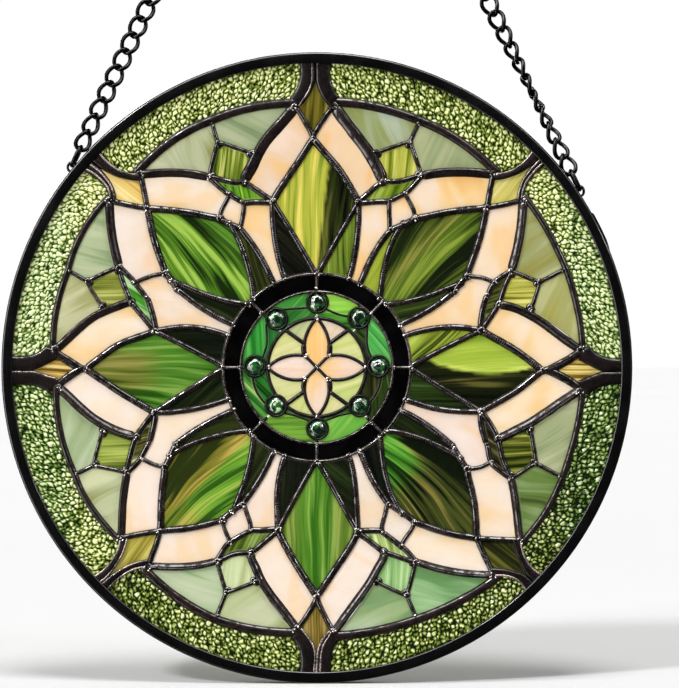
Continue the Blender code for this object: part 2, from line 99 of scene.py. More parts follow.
# Junctions of the leads in the wedge, and points of its outline: (across, up)
APEX = (0.0, 73.1)
VALLEY = (13.0, 52.6)
ARCH_FOOT = (21.0, 57.8)
TILE_TOP = (17.6, 67.2)
TILE_CORNER = (19.2, 68.0)
TILE_FAR = (29.6, 70.8)
TILE_FOOT = (32.6, 60.6)
LEG_TOP = (23.5, 54.1)
QUAD_TOP = (28.4, 57.0)
QUAD_FOOT = (24.0, 44.2)
LEAF_SHOULDER = (30.2, 48.0)
SLIVER_HEAD = (27.3, 46.2)
LEAF_TIP = (51.5, 51.5)
KITE_TIP = (0.0, 91.2)
KITE_SIDE = (5.5, 83.1)
KITE_FOOT = (0.0, 75.0)
FAR_KITE_TIP = (66.1, 66.1)
FAR_KITE_SIDE = (53.4, 61.5)
FAR_KITE_FOOT = (52.2, 52.2)
BORDER_START = (4.0, 96.6)
BORDER_START_FOOT = (7.4, 84.6)
HORN_FOOT = (8.0, 86.6)
BORDER_END = (66.1, 70.6)
BORDER_END_FOOT = (55.2, 64.4)
PETAL_CORNER = (3.7, 3.7)
SPLIT_START = (4.0, 7.6)
SPLIT_END = (10.1, 12.0)

# Sectors run clockwise from straight up; odd ones are mirrored
SECTORS = (
    "top_right", "right_upper", "right_lower", "bottom_right",
    "bottom_left", "left_lower", "left_upper", "top_left",
)
QUARTERS = ("top", "right", "bottom", "left")
CORNERS = ("upper_right", "lower_right", "lower_left", "upper_left")
SPLIT_SECTORS = (0, 3, 4, 7)  # the sectors beside the top and the bottom leaf
SIDE_SECTORS = (1, 2, 5, 6)  # those beside the right and the left leaf
LOWEST_SECTORS = (3, 4)

# The wire eyes on the rim, in degrees clockwise from straight up
EYES = {"left": -50.6, "right": 56.0}


# ---------------------------------------------------------------- lines in the plane of the disc

def on_circle(radius, degrees):
    """The point at this angle, clockwise from straight up: radius by (sine, cosine)."""
    angle = np.radians(degrees)
    return np.stack([radius * np.sin(angle), radius * np.cos(angle)], -1)


def arc(radius, start, end, steps=12):
    return on_circle(radius, np.linspace(start, end, steps + 1))


def bowed(start, end, bow=0.0, steps=10):
    """Points on a circular arc that leaves its chord by bow, to the left when positive."""
    start, end = np.array(start, float), np.array(end, float)
    chord = end - start
    length = np.hypot(*chord)
    share = np.linspace(-1, 1, steps + 1)[:, None]
    if abs(bow) < 1e-9:
        return (start + end) / 2 + share * chord / 2
    half_turn = 2 * math.atan(2 * bow / length)
    radius = length / 2 / math.sin(half_turn)
    direction = chord / length
    left = np.array([-direction[1], direction[0]])
    forward = radius * np.sin(half_turn * share)
    aside = radius * (np.cos(half_turn * share) - math.cos(half_turn))
    return (start + end) / 2 + forward * direction + aside * left


def soft_curve(*points):
    """The curve of lowest degree through the points, each axis a polynomial of the distance along them."""
    points = np.array(points, float)
    place = lengths(points)
    even = np.linspace(0, place[-1], 37)
    return np.stack([fitted(place, axis, len(points) - 1, even) for axis in points.T], -1)


def fitted(places, values, degree, wanted):
    """The polynomial of this degree that goes nearest the values at their places, at the wanted places."""
    return np.polynomial.Polynomial.fit(places, values, degree)(wanted)


def normals(points, closed=False):
    """Unit vectors to the right of a run of points, at each point."""
    ahead = np.roll(points, -1, 0) - np.roll(points, 1, 0) if closed else np.gradient(points, axis=0)
    ahead /= np.maximum(np.hypot(*ahead.T), 1e-9)[:, None]
    return np.stack([ahead[:, 1], -ahead[:, 0]], -1)


def shifted(points, distance):
    """The run set to its right by this distance."""
    return points + normals(points) * distance


def stretched(points, extra):
    """The same run, with both ends carried straight on by extra."""
    first, last = points[0] - points[1], points[-1] - points[-2]
    first, last = (v / np.hypot(*v) * extra for v in (first, last))
    return np.vstack([points[0] + first, points[1:-1], points[-1] + last])


def crossing(first, second, corner):
    """Where two runs cross nearest the corner, and how far along each: every pair of their segments is solved
    as two line equations."""
    a, b = np.diff(first, axis=0)[:, None], np.diff(second, axis=0)[None]
    offset = second[None, :-1] - first[:-1, None]
    turn = a[..., 0] * b[..., 1] - a[..., 1] * b[..., 0]
    turn = np.where(np.abs(turn) < 1e-9, 1e-9, turn)
    s = (offset[..., 0] * b[..., 1] - offset[..., 1] * b[..., 0]) / turn
    t = (offset[..., 0] * a[..., 1] - offset[..., 1] * a[..., 0]) / turn
    meets = (s >= 0) & (s <= 1) & (t >= 0) & (t <= 1)
    point = first[:-1, None] + s[..., None] * a
    distance = np.where(meets, np.linalg.norm(point - np.array(corner), axis=-1), np.inf)
    i, j = np.unravel_index(np.argmin(distance), distance.shape)
    return i + s[i, j], j + t[i, j], point[i, j]


def trimmed(sides):
    """Each side of a closed outline set back by its own distance, less what is tucked under the lead, and cut
    where it meets the next one."""
    runs = [stretched(shifted(points, setback - TUCK), THICK_LEAD) for points, setback in sides]
    count = len(runs)
    meets = [crossing(runs[k - 1], runs[k], sides[k][0][0]) for k in range(count)]
    result = []
    for k, run in enumerate(runs):
        (_, start, head), (end, _, tail) = meets[k], meets[(k + 1) % count]
        middle = run[math.floor(start + 0.05) + 1:math.ceil(end - 0.05)]
        result.append(np.vstack([head, middle, tail]))
    return result


def back(side):
    """The side run the other way: its piece lies on its other hand."""
    return side[0][::-1], side[1]


def across(side):
    """The side mirrored in the upright axis and run the other way."""
    return (side[0] * (-1, 1))[::-1], side[1]


def across_diagonal(side):
    """The side mirrored in the diagonal and run the other way."""
    return side[0][::-1, ::-1], side[1]


def step(value, low, high):
    """0 below low, 1 above high, and 3 t^2 - 2 t^3 between."""
    share = np.clip((value - low) / (high - low), 0, 1)
    return share * share * (3 - 2 * share)


def in_eighth(points, sector):
    """Wedge points placed in one eighth of the disc, every eighth alike."""
    quarter = (sector + 1) // 2 % 4
    points = points * (-1, 1) if sector % 2 else points
    angle = -math.pi / 2 * quarter
    turn = np.array([[math.cos(angle), math.sin(angle)], [-math.sin(angle), math.cos(angle)]])
    return points @ turn


def pull(points, places):
    """How strongly each place acts at each point: the square root of their distance squared and NUDGE_REACH
    squared, which makes a smooth field when the weights are solved from it."""
    away = points[:, None] - places[None]
    return np.sqrt((away ** 2).sum(-1) + NUDGE_REACH ** 2)


def in_sector(points, sector):
    """Wedge points placed in one eighth of the disc and moved as the joints about them are: not within the
    inner ring, and only round the disc, not outward, at the rim."""
    even = in_eighth(points, sector).reshape(-1, 2)
    radius = np.hypot(*even.T)
    moved = even + pull(even, NUDGE_PLACES) @ NUDGE_WEIGHTS * step(radius, 30.5, 38)[:, None]
    found = np.hypot(*moved.T)
    wanted = radius + (found - radius) * (1 - step(radius, 88, 96))
    return (moved * (wanted / np.maximum(found, 1e-6))[:, None]).reshape(points.shape)


def lengths(points):
    """Distance along a run, at each of its points."""
    return np.concatenate([[0.0], np.cumsum(np.linalg.norm(np.diff(points, axis=0), axis=-1))])


def along(points, share):
    """The point of a run at each share of its length."""
    run = lengths(points)
    place = share * run[-1]
    return np.stack([np.interp(place, run, axis) for axis in points.T], -1)


# ---------------------------------------------------------------- the leads of one wedge

SHOULDER = on_circle(BORDER_CIRCLE, 4.6)
DIVIDER_TOP = on_circle(BORDER_CIRCLE, 21.9)
FAR_SHOULDER = on_circle(BORDER_CIRCLE, 40.2)
SLIVER_FOOT = on_circle(RING_OUTER, 19.8)
LEG_FOOT = on_circle(RING_OUTER, 27.1)
FAR_LEAF_FOOT = on_circle(RING_OUTER, 42.5)

# Hand-cut unevenness: how far each joint lies from its even place, across and up, in sectors 0 to 7
ARCH_MIDDLE = (14.9, 71.3)
ARCH_LOWER = (19.6, 62.9)
LEAF_EDGE = (6.5, 62.8)
NUDGES = (
    (SHOULDER, ((-1.0, -0.7), (-0.2, -1.0), (-0.3, -0.6), (-1.0, -0.1),
                (0.2, 0.8), (1.6, 0.3), (0.7, -1.0), (-0.4, -1.0))),
    (ARCH_MIDDLE, ((-0.8, 0.0), (0.0, -0.6), (0.0, -0.2), (-0.4, 0.0),
                   (-0.2, 0.0), (0.0, -0.8), (0.0, 0.7), (-1.6, 0.0))),
    (ARCH_LOWER, ((-0.25, 0.0), (0.0, -0.8), (0.0, -0.4), (0.1, 0.0),
                  (0.0, 0.0), (0.0, -0.7), (0.0, -0.1), (-1.4, 0.0))),
    (LEAF_EDGE, ((0.5, 0.0), (0.0, -1.0), (0.3, -1.0), (0.0, 0.0),
                 (0.3, 0.0), (0.0, -0.9), (0.0, 0.6), (-0.9, 0.0))),
    (VALLEY, ((0.2, -0.2), (-0.5, -1.2), (-0.5, -0.9), (0.0, 0.5),
              (0.7, 1.0), (1.2, -1.2), (1.3, -1.4), (-1.0, 0.0))),
    (ARCH_FOOT, ((-0.2, 0.9), (-0.2, -0.9), (-0.5, -1.5), (0.2, -0.5),
                 (0.2, -0.7), (0.6, -0.9), (-0.9, -0.4), (-1.8, 0.7))),
    (TILE_TOP, ((-0.5, 0.0), (0.0, -0.7), (0.0, -0.3), (-0.2, 0.0),
                (-0.2, 0.0), (0.0, -0.8), (0.0, 0.3), (-1.4, 0.0))),
    (TILE_FAR, ((0.0, 0.6), (-0.2, -2.5), (-1.2, -0.9), (-1.0, -1.3),
                (0.8, -0.5), (0.2, -1.4), (-1.9, -2.1), (-1.8, 0.5))),
    (TILE_FOOT, ((0.5, 0.2), (1.0, -2.1), (0.9, -2.4), (-1.3, -1.0),
                 (1.0, -0.7), (0.4, -0.6), (-2.1, -0.9), (-1.4, -0.2))),
    (LEG_TOP, ((-0.4, -1.2), (0.0, -0.5), (-0.2, -0.8), (-2.6, 1.8),
               (2.2, 2.2), (0.8, -0.5), (0.0, -1.2), (0.1, -1.7))),
    (QUAD_TOP, ((-0.5, -1.7), (-0.7, -1.5), (-1.6, -1.6), (-1.7, 0.3),
                (0.8, 1.5), (1.1, -0.3), (-0.8, -1.5), (0.6, -2.0))),
    (QUAD_FOOT, ((-0.6, -0.5), (-0.4, 0.0), (-1.0, -0.8), (-1.4, 0.9),
                 (0.6, 0.9), (-0.6, -0.3), (-0.3, 0.8), (-0.4, 0.1))),
    (LEAF_SHOULDER, ((0.9, -0.7), (-0.3, -1.3), (-0.4, -1.9), (0.8, -1.0),
                     (0.3, -0.4), (-0.2, -1.2), (-0.1, -0.3), (-0.6, -0.7))),
    (FAR_SHOULDER, ((1.9, -2.6), (1.5, -0.9), (0.5, -0.8), (1.8, -1.8),
                    (0.5, 0.9), (1.8, 0.0), (-1.9, -1.2), (-1.9, -2.7))),
    (DIVIDER_TOP, ((0.8, -0.6), (0.4, -0.4), (-0.7, -3.0), (-0.1, -0.8),
                   (-0.3, -0.7), (1.7, -2.3), (-0.4, -0.9), (-1.9, -0.6))),
    (BORDER_START, ((0.4, 0.0), (0.0, -1.1), (0.0, -1.2), (0.6, 0.0),
                    (-1.5, 0.0), (0.0, -1.6), (0.0, -0.2), (-1.5, 0.0))),
    (BORDER_END, ((1.3, -2.6), (1.4, -2.4), (1.0, 0.5), (0.3, -0.6),
                  (0.0, 0.0), (0.3, 0.5), (-3.7, -3.7), (-2.4, -2.2))),
)
# The same for the joints on the upright and level lines and on the diagonals, in quarters 0 to 3
LINE_NUDGES = (
    (APEX, ((-1.2, -0.5), (-1.5, -0.9), (0.0, 0.5), (-0.2, -0.4))),
    (KITE_TIP, ((-0.4, -0.7), (-1.0, -1.2), (0.0, 1.5), (1.7, -0.9))),
    (LEAF_TIP, ((2.5, -0.7), (-0.5, -2.7), (1.7, -0.4), (-2.3, -0.9))),
    (FAR_KITE_TIP, ((1.1, -3.0), (0.8, -0.2), (0.9, 0.6), (-1.4, -4.0))),
)
NUDGE_REACH = 2.5
# The joints round the black ring keep their places
STILL = on_circle(RING_OUTER + 0.8, np.arange(0, 360, 22.5))
NUDGE_PLACES = np.vstack([
    in_eighth(np.array([place], float), sector)
    for nudges, every in ((NUDGES, 1), (LINE_NUDGES, 2))
    for place, _ in nudges for sector in range(0, 8, every)
] + [STILL])
NUDGE_WEIGHTS = np.linalg.solve(
    pull(NUDGE_PLACES, NUDGE_PLACES),
    np.vstack([shifts for _, shifts in NUDGES + LINE_NUDGES] + [STILL * 0]),
)


def cut(start, end, lead, bow=0.0):
    """A side of a piece: its line, and how far the edge of the lead lies from it."""
    return bowed(start, end, bow), lead / 2


def circle_side(radius, start, end, setback=FINE_LEAD / 2):
    return arc(radius, start, end), setback


# The thick lead over an arch, as one soft curve
ARCH_LEAD = soft_curve(SHOULDER, (12.1, 75.4), (17.5, 67.2), ARCH_LOWER, ARCH_FOOT)

KITE_EDGE = cut(APEX, SHOULDER, PLAIN_LEAD, 0.15)
ARCH_TOP = cut(SHOULDER, TILE_TOP, THICK_LEAD, 0.8)
ARCH_SIDE = cut(TILE_TOP, ARCH_FOOT, THICK_LEAD, 0.25)
ARCH_END = cut(ARCH_FOOT, VALLEY, PLAIN_LEAD)
ARCH_INNER = cut(VALLEY, APEX, MAIN_LEAD)
LEAF_SIDE = cut(VALLEY, (0.4, RING_OUTER), PLAIN_LEAD)
SLIVER_SIDE = cut(VALLEY, SLIVER_FOOT, PLAIN_LEAD, 1.3)
BLADE_TOP = cut(ARCH_FOOT, TILE_FOOT, PLAIN_LEAD, 0.4)
BLADE_FOOT = cut(VALLEY, LEG_TOP, PLAIN_LEAD, -0.3)
QUAD_EDGE = cut(LEG_TOP, QUAD_TOP, PLAIN_LEAD)
BAND_START = cut(QUAD_TOP, TILE_FOOT, PLAIN_LEAD)
BAND_TOP = cut(TILE_FOOT, FAR_SHOULDER, THICK_LEAD, 0.9)
FAR_KITE_EDGE = cut(FAR_SHOULDER, LEAF_TIP, PLAIN_LEAD)
FAR_LEAF_TOP = cut(LEAF_TIP, LEAF_SHOULDER, MAIN_LEAD, -0.75)
FAR_LEAF_SIDE = cut(SLIVER_HEAD, FAR_LEAF_FOOT, PLAIN_LEAD, -1.4)
LEG_NECK = cut(LEAF_SHOULDER, SLIVER_HEAD, MAIN_LEAD, -0.1)
LEG_TURN = cut(SLIVER_HEAD, QUAD_FOOT, MAIN_LEAD, -0.1)
LEG_SIDE = cut(QUAD_FOOT, LEG_FOOT, MAIN_LEAD, -1.1)
QUAD_SEAM = cut(LEG_TOP, QUAD_FOOT, FINE_LEAD)
BAND_SEAM = cut(QUAD_TOP, LEAF_SHOULDER, FINE_LEAD, 0.8)
TILE_HEAD = cut(TILE_TOP, TILE_FAR, FINE_LEAD)
TILE_SIDE = cut(TILE_FAR, TILE_FOOT, FINE_LEAD)
DIVIDER = cut(TILE_FAR, DIVIDER_TOP, FINE_LEAD)
PETAL_SIDE = cut((0.0, FLOWER_CIRCLE), PETAL_CORNER, FINE_LEAD, 1.6)
SPLIT = cut(SPLIT_START, SPLIT_END, FINE_LEAD)


# The gems, clockwise from the top: they sit a little above the middle of their ring
GEM_MIDDLES = np.array([
    (0.2, 20.7), (13.4, 15.7), (19.5, 0.4), (13.6, -12.1),
    (0.2, -19.4), (-12.9, -12.1), (-19.6, 0.4), (-12.7, 15.4),
])


# ---------------------------------------------------------------- surfaces

def cosine_steps(count):
    """Shares from 0 to 1 that crowd towards both ends: (1 - cos(pi k / n)) / 2."""
    return (1 - np.cos(np.pi * np.linspace(0, 1, count + 1))) / 2


def patch(four, u, v):
    """A surface inside four runs that meet at its corners: each pair of facing runs is blended straight
    across, the two blends are added, and the blend of the four corners is taken away."""
    top, far, foot, near = four
    a, c = along(top, u)[:, None], along(foot[::-1], u)[:, None]
    d, b = along(near[::-1], v)[None], along(far, v)[None]
    u, v = u[:, None, None], v[None, :, None]
    ruled = (1 - v) * a + v * c + (1 - u) * d + u * b
    corners = (1 - u) * ((1 - v) * top[0] + v * foot[-1]) + u * ((1 - v) * top[-1] + v * foot[0])
    return ruled - corners


def grid_faces(rows, columns, close_rows=False, close_columns=False):
    """Two triangles for each cell of a grid whose points are numbered row by row."""
    i = np.arange(rows if close_rows else rows - 1)[:, None]
    j = np.arange(columns if close_columns else columns - 1)[None]
    near, far = i * columns, (i + 1) % rows * columns
    a, b, c, d = near + j, near + (j + 1) % columns, far + (j + 1) % columns, far + j
    return np.concatenate([np.stack([a, b, c], -1).reshape(-1, 3), np.stack([a, c, d], -1).reshape(-1, 3)])


def waves(x, z, size, seed):
    """Smooth unevenness from -1 to 1, about this size apart: five sine waves in seeded directions, averaged."""
    random = np.random.default_rng(SEED + seed)
    angle, phase = random.uniform(0, 2 * np.pi, (2, 5))
    pace = 2 * np.pi / size * random.uniform(0.6, 1.5, 5)
    total = sum(np.sin(p * (x * math.cos(a) + z * math.sin(a)) + f) for a, f, p in zip(angle, phase, pace))
    return total / 5


class Clay:
    """Points and triangles gathered for one piece, with what its material reads at each point."""

    def __init__(self):
        self.points, self.faces, self.marks, self.count = [], [], {}, 0

    def add(self, points, faces, **marks):
        """Adds a surface. Points that fall together are made one, and triangles that this flattens are left
        out."""
        points = points.reshape(-1, 3)
        _, first, place = np.unique(np.round(points, 4), axis=0, return_index=True, return_inverse=True)
        faces = place.reshape(-1)[faces]
        whole = (faces[:, 0] != faces[:, 1]) & (faces[:, 1] != faces[:, 2]) & (faces[:, 2] != faces[:, 0])
        self.points.append(points[first])
        self.faces.append(faces[whole] + self.count)
        self.count += len(first)
        for name, value in marks.items():
            self.marks.setdefault(name, []).append(value[first])

    def slab(self, front, rear, **marks):
        """Adds a front grid, a rear grid with the same marks, and the wall round them."""
        rows, columns = front.shape[:2]
        count = rows * columns
        face = grid_faces(rows, columns)
        index = np.arange(count).reshape(rows, columns)
        loop = np.concatenate([index[0, :-1], index[:-1, -1], index[-1, :0:-1], index[:0:-1, 0]])
        after = np.roll(loop, -1)
        wall = [np.stack([loop, loop + count, after + count], -1), np.stack([loop, after + count, after], -1)]
        both = {name: np.broadcast_to(value, (2, count, np.shape(value)[-1])).reshape(2 * count, -1)
                for name, value in marks.items()}
        self.add(np.stack([front, rear]), np.concatenate([face, face[:, ::-1] + count, *wall]), **both)

    def piece(self, name, finish, slot, nodes, sharp=50):
        """The finished object, with its place in its mesh."""
        points = np.concatenate(self.points) * MM + MIDDLE
        faces = np.concatenate(self.faces).astype(np.int32)
        mesh = bpy.data.meshes.new(name)
        mesh.vertices.add(len(points))
        mesh.vertices.foreach_set("co", points.astype(np.float32).ravel())
        mesh.loops.add(faces.size)
        mesh.loops.foreach_set("vertex_index", faces.ravel())
        mesh.polygons.add(len(faces))
        mesh.polygons.foreach_set("loop_start", np.arange(0, faces.size, 3, dtype=np.int32))
        for mark, values in self.marks.items():
            values = np.concatenate(values).astype(np.float32)
            kind, key = ("FLOAT_COLOR", "color") if values.shape[1] == 4 else ("FLOAT_VECTOR", "vector")
            mesh.attributes.new(mark, kind, "POINT").data.foreach_set(key, values.ravel())
        mesh.update(calc_edges=True)
        mesh.validate()
        work = bmesh.new()
        work.from_mesh(mesh)
        bmesh.ops.recalc_face_normals(work, faces=work.faces)
        work.to_mesh(mesh)
        work.free()
        mesh.polygons.foreach_set("use_smooth", np.ones(len(mesh.polygons), bool))
        mesh.set_sharp_from_angle(angle=math.radians(sharp))
        mesh.materials.append(finish)
        made = bpy.data.objects.new(name, mesh)
        bpy.context.scene.collection.objects.link(made)
        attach(made, "root")
        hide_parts(*nodes)


def in_space(plane, depth):
    """Plane points with a depth at each, as (across, depth, up)."""
    return np.stack([plane[..., 0], np.broadcast_to(depth, plane.shape[:-1]), plane[..., 1]], -1)


def linear(code):
    """A colour as the shader wants it, from its six-figure name on a paint chart: the sRGB curve undone."""
    value = np.array([int(code[k:k + 2], 16) for k in (0, 2, 4)]) / 255
    return np.append(np.where(value <= 0.04045, value / 12.92, ((value + 0.055) / 1.055) ** 2.4), 1.0)


# ---------------------------------------------------------------- materials

class Socket:
    """A node's output that works in sums: each operator adds a Math node."""

    def __init__(self, nodes, link):
        self.nodes, self.link = nodes, link

    def math(self, operation, *others):
        return self.nodes.node("Math", {"operation": operation}, dict(enumerate((self, *others))))

    def __add__(self, other):
        return self.math("ADD", other)

    def __sub__(self, other):
        return self.math("SUBTRACT", other)

    def __rsub__(self, other):
        return self.nodes.node("Math", {"operation": "SUBTRACT"}, {0: other, 1: self})

    def __mul__(self, other):
        return self.math("MULTIPLY", other)

    def __truediv__(self, other):
        return self.math("DIVIDE", other)

    def smooth(self, low, high):
        """0 below low, 1 above high, and a smooth rise between."""
        ports = {"Value": self, "From Min": low, "From Max": high}
        return self.nodes.node("MapRange", {"interpolation_type": "SMOOTHSTEP"}, ports)

    __radd__, __rmul__ = __add__, __mul__


class Nodes:
    """The nodes of a material or of the world."""

    def __init__(self, owner):
        owner.use_nodes = True
        self.tree = owner.node_tree

    def put(self, node, ports):
        for key, value in ports.items():
            port = node.inputs[key]
            if isinstance(value, Socket):
                self.tree.links.new(value.link, port)
            elif port.type == "RGBA":
                port.default_value = (*value[:3], 1.0)
            else:
                port.default_value = value

    def node(self, kind, settings=None, ports=None, output=0):
        made = self.tree.nodes.new("ShaderNode" + kind)
        for key, value in (settings or {}).items():
            setattr(made, key, value)
        self.put(made, ports or {})
        return Socket(self, made.outputs[output])


class Finish(Nodes):
    """A material and the nodes that work out its look."""

    def __init__(self, name, **constants):
        self.material = bpy.data.materials.new(name)
        super().__init__(self.material)
        self.shader = self.tree.nodes["Principled BSDF"]
        self.put(self.shader, constants)

    def mark(self, name, output="Vector"):
        """What a point of the mesh says under this name."""
        return self.node("Attribute", {"attribute_name": name}, output=output)

    def paint(self, name):
        return self.mark(name, "Color")

    def place(self):
        """Object coordinates, in millimetres."""
        spot = self.node("TexCoord", output="Object")
        return self.node("VectorMath", {"operation": "SCALE"}, {0: spot, "Scale": 1 / MM})

    def parts(self, vector):
        split = self.node("SeparateXYZ", None, {0: vector}).link.node
        return [Socket(self, output) for output in split.outputs]

    def joined(self, x, y, z):
        return self.node("CombineXYZ", None, {0: x, 1: y, 2: z})

    def noise(self, vector, size=1.0, detail=2.0):
        """Noise about size apart, spread so that it fills most of 0 to 1."""
        noise = self.node("TexNoise", None, {"Vector": vector, "Scale": 1 / size, "Detail": detail})
        return (noise - 0.5) * 2.2 + 0.5

    def mix(self, share, first, second):
        return self.node("Mix", {"data_type": "RGBA"}, {0: share, 6: first, 7: second}, output=2)

    def bump(self, height, distance):
        """Relief of this depth, in millimetres."""
        return self.node("Bump", None, {"Height": height, "Distance": distance * MM, "Strength": 1.0})

    def finished(self, **ports):
        names = {"colour": "Base Color", "roughness": "Roughness", "normal": "Normal", "coat": "Coat Weight"}
        self.put(self.shader, {names[key]: value for key, value in ports.items()})
        return self.material


def principled(roughness=0.5, metallic=0.0, coat=0.0, coat_roughness=0.03, specular=0.5):
    return {
        "Roughness": roughness, "Metallic": metallic, "Coat Weight": coat, "Coat Roughness": coat_roughness,
        "Specular IOR Level": specular,
    }


def streaked_glass(name, bands=(55, 4.2, 0.65), streaks=(38, 1.5, 0.85), hairs=(22, 0.5, 0.45), edge=0.35,
                   wander=2.2):
    """Glass drawn out in streaks: long noise, bent by slower noise, moves a tone between the piece's dark,
    middle and light colours, and a painted highlight makes its cut edge beside the lead lighter, by edge.
    bands, streaks and hairs are each a length, a breadth and a strength."""
    gloss = 0.18
    finish = Finish(name, **principled(gloss, specular=0.18))
    forward, aside, seed = finish.parts(finish.mark("grain"))
    shade, contrast, rim = finish.parts(finish.mark("flow"))
    warp = finish.noise(finish.joined(forward / 30, aside / 12, seed), detail=1) - 0.5
    aside = aside + warp * wander
    layers = []
    for k, (long, broad, strength) in enumerate((bands, streaks, hairs), 1):
        place = finish.joined(forward / long, aside / broad, seed + 3 * k)
        fine = finish.noise(place, detail=1 + k // 3) - 0.5
        layers.append(fine * strength)
    tone = shade + contrast * sum(layers)
    colour = finish.mix(tone.smooth(0.0, 0.5), finish.paint("dark"), finish.paint("middle"))
    colour = finish.mix(tone.smooth(0.5, 1.0), colour, finish.paint("light"))
    # Painted highlight: the cut edge beside the lead, within 0.35 mm, goes over towards a light cream
    painted_edge_highlight = finish.mix(0.12, finish.paint("light"), (1.0, 0.95, 0.82))
    colour = finish.mix((1 - rim.smooth(0.0, 0.35)) * edge, colour, painted_edge_highlight)
    swell = finish.noise(finish.place(), size=5.0, detail=1)
    return finish.finished(
        colour=colour, roughness=fine * 0.1 + gloss, normal=finish.bump(swell * 0.6 + fine * 0.1, 0.25)
    )


def hammered_glass():
    """Border glass: its pebbles are in the mesh. Painted light follows their height: a light yellow painted
    highlight on their crowns and dark green painted shade between, lighter or darker in each sector as the
    mark's second part says, and cooler where its third part says."""
    finish = Finish("hammered_green_glass", **principled(0.12, specular=0.6))
    height, painted_light_and_tone, cool = finish.parts(finish.mark("flow"))
    fine = finish.noise(finish.place(), size=0.5, detail=2)
    # Painted light: the tone rises with the pebble's height and with the sector's painted light
    tone = (height * 1.1 + fine * 0.3) * (painted_light_and_tone + 1)
    valley_shade, body, crown = (
        finish.mix(cool, linear(warm), linear(cold))
        for warm, cold in (("141c04", "0c200a"), ("839a3a", "609048"), ("fcfcb4", "e6f6c0"))
    )
    colour = finish.mix(tone.smooth(0.5, 0.86), finish.mix(tone.smooth(0.2, 0.52), valley_shade, body), crown)
    return finish.finished(colour=colour, roughness=fine * 0.1 + 0.08, normal=finish.bump(fine, 0.05))


def lead_finish(name, bright, dark, gloss, wear_and_sheen="3a2e2a", metallic=0.2, coat=1.0):
    """Dark patina over soft metal: brown where it is rubbed, dull in hollows, with fine tool marks and, where
    the mesh asks for ribs, milled across. A glossy film lies over it in broken patches. Its patchy colour
    is wear on the dark leads, and painted highlight on the light ones made with it."""
    finish = Finish(name, **principled(gloss, metallic=metallic, specular=0.18, coat_roughness=0.07))
    finish.put(finish.shader, {"Coat IOR": 1.7})
    spot = finish.place()
    cloud = finish.noise(spot, size=6.0, detail=3)
    grit = finish.noise(spot, size=0.7, detail=3)
    film = finish.noise(spot, size=1.8, detail=2)
    reach, seed, ribs = finish.parts(finish.mark("ribs"))
    stretch = finish.noise(finish.joined(reach / 9, seed, 0.0), detail=1)
    tooth = (reach * (2 * math.pi / RIB_PITCH)).math("SINE") * ribs * stretch.smooth(0.3, 0.7)
    colour = finish.mix(cloud.smooth(0.2, 0.8), linear(dark), linear(bright))
    colour = finish.mix(grit.smooth(0.45, 0.9) * 0.35, colour, linear(wear_and_sheen))
    return finish.finished(
        colour=colour,
        roughness=grit * 0.2 + gloss - 0.08,
        coat=film.smooth(0.3, 0.6) * coat,
        normal=finish.bump(grit * 0.35 + cloud * 0.65 + tooth * 1.5, 0.06),
    )


def black_paint(name, gloss, grain=0.03, shine="040404", specular=0.15, coat=0.0):
    """Black enamel on metal: nearly even, with a faint orange-peel skin and dust in its gloss."""
    finish = Finish(name, **principled(gloss, specular=specular, coat=coat, coat_roughness=0.06))
    spot = finish.place()
    skin = finish.noise(spot, size=0.9, detail=2)
    cloud = finish.noise(spot, size=9.0, detail=3)
    colour = finish.mix(cloud.smooth(0.2, 0.9), linear("010101"), linear(shine))
    return finish.finished(
        colour=colour, roughness=cloud * 0.15 + gloss - 0.07, normal=finish.bump(skin, grain)
    )


# ---------------------------------------------------------------- glass

def tones(codes):
    dark, middle, light = (linear(code) for code in codes.split())
    return {"dark": dark, "middle": middle, "light": light}


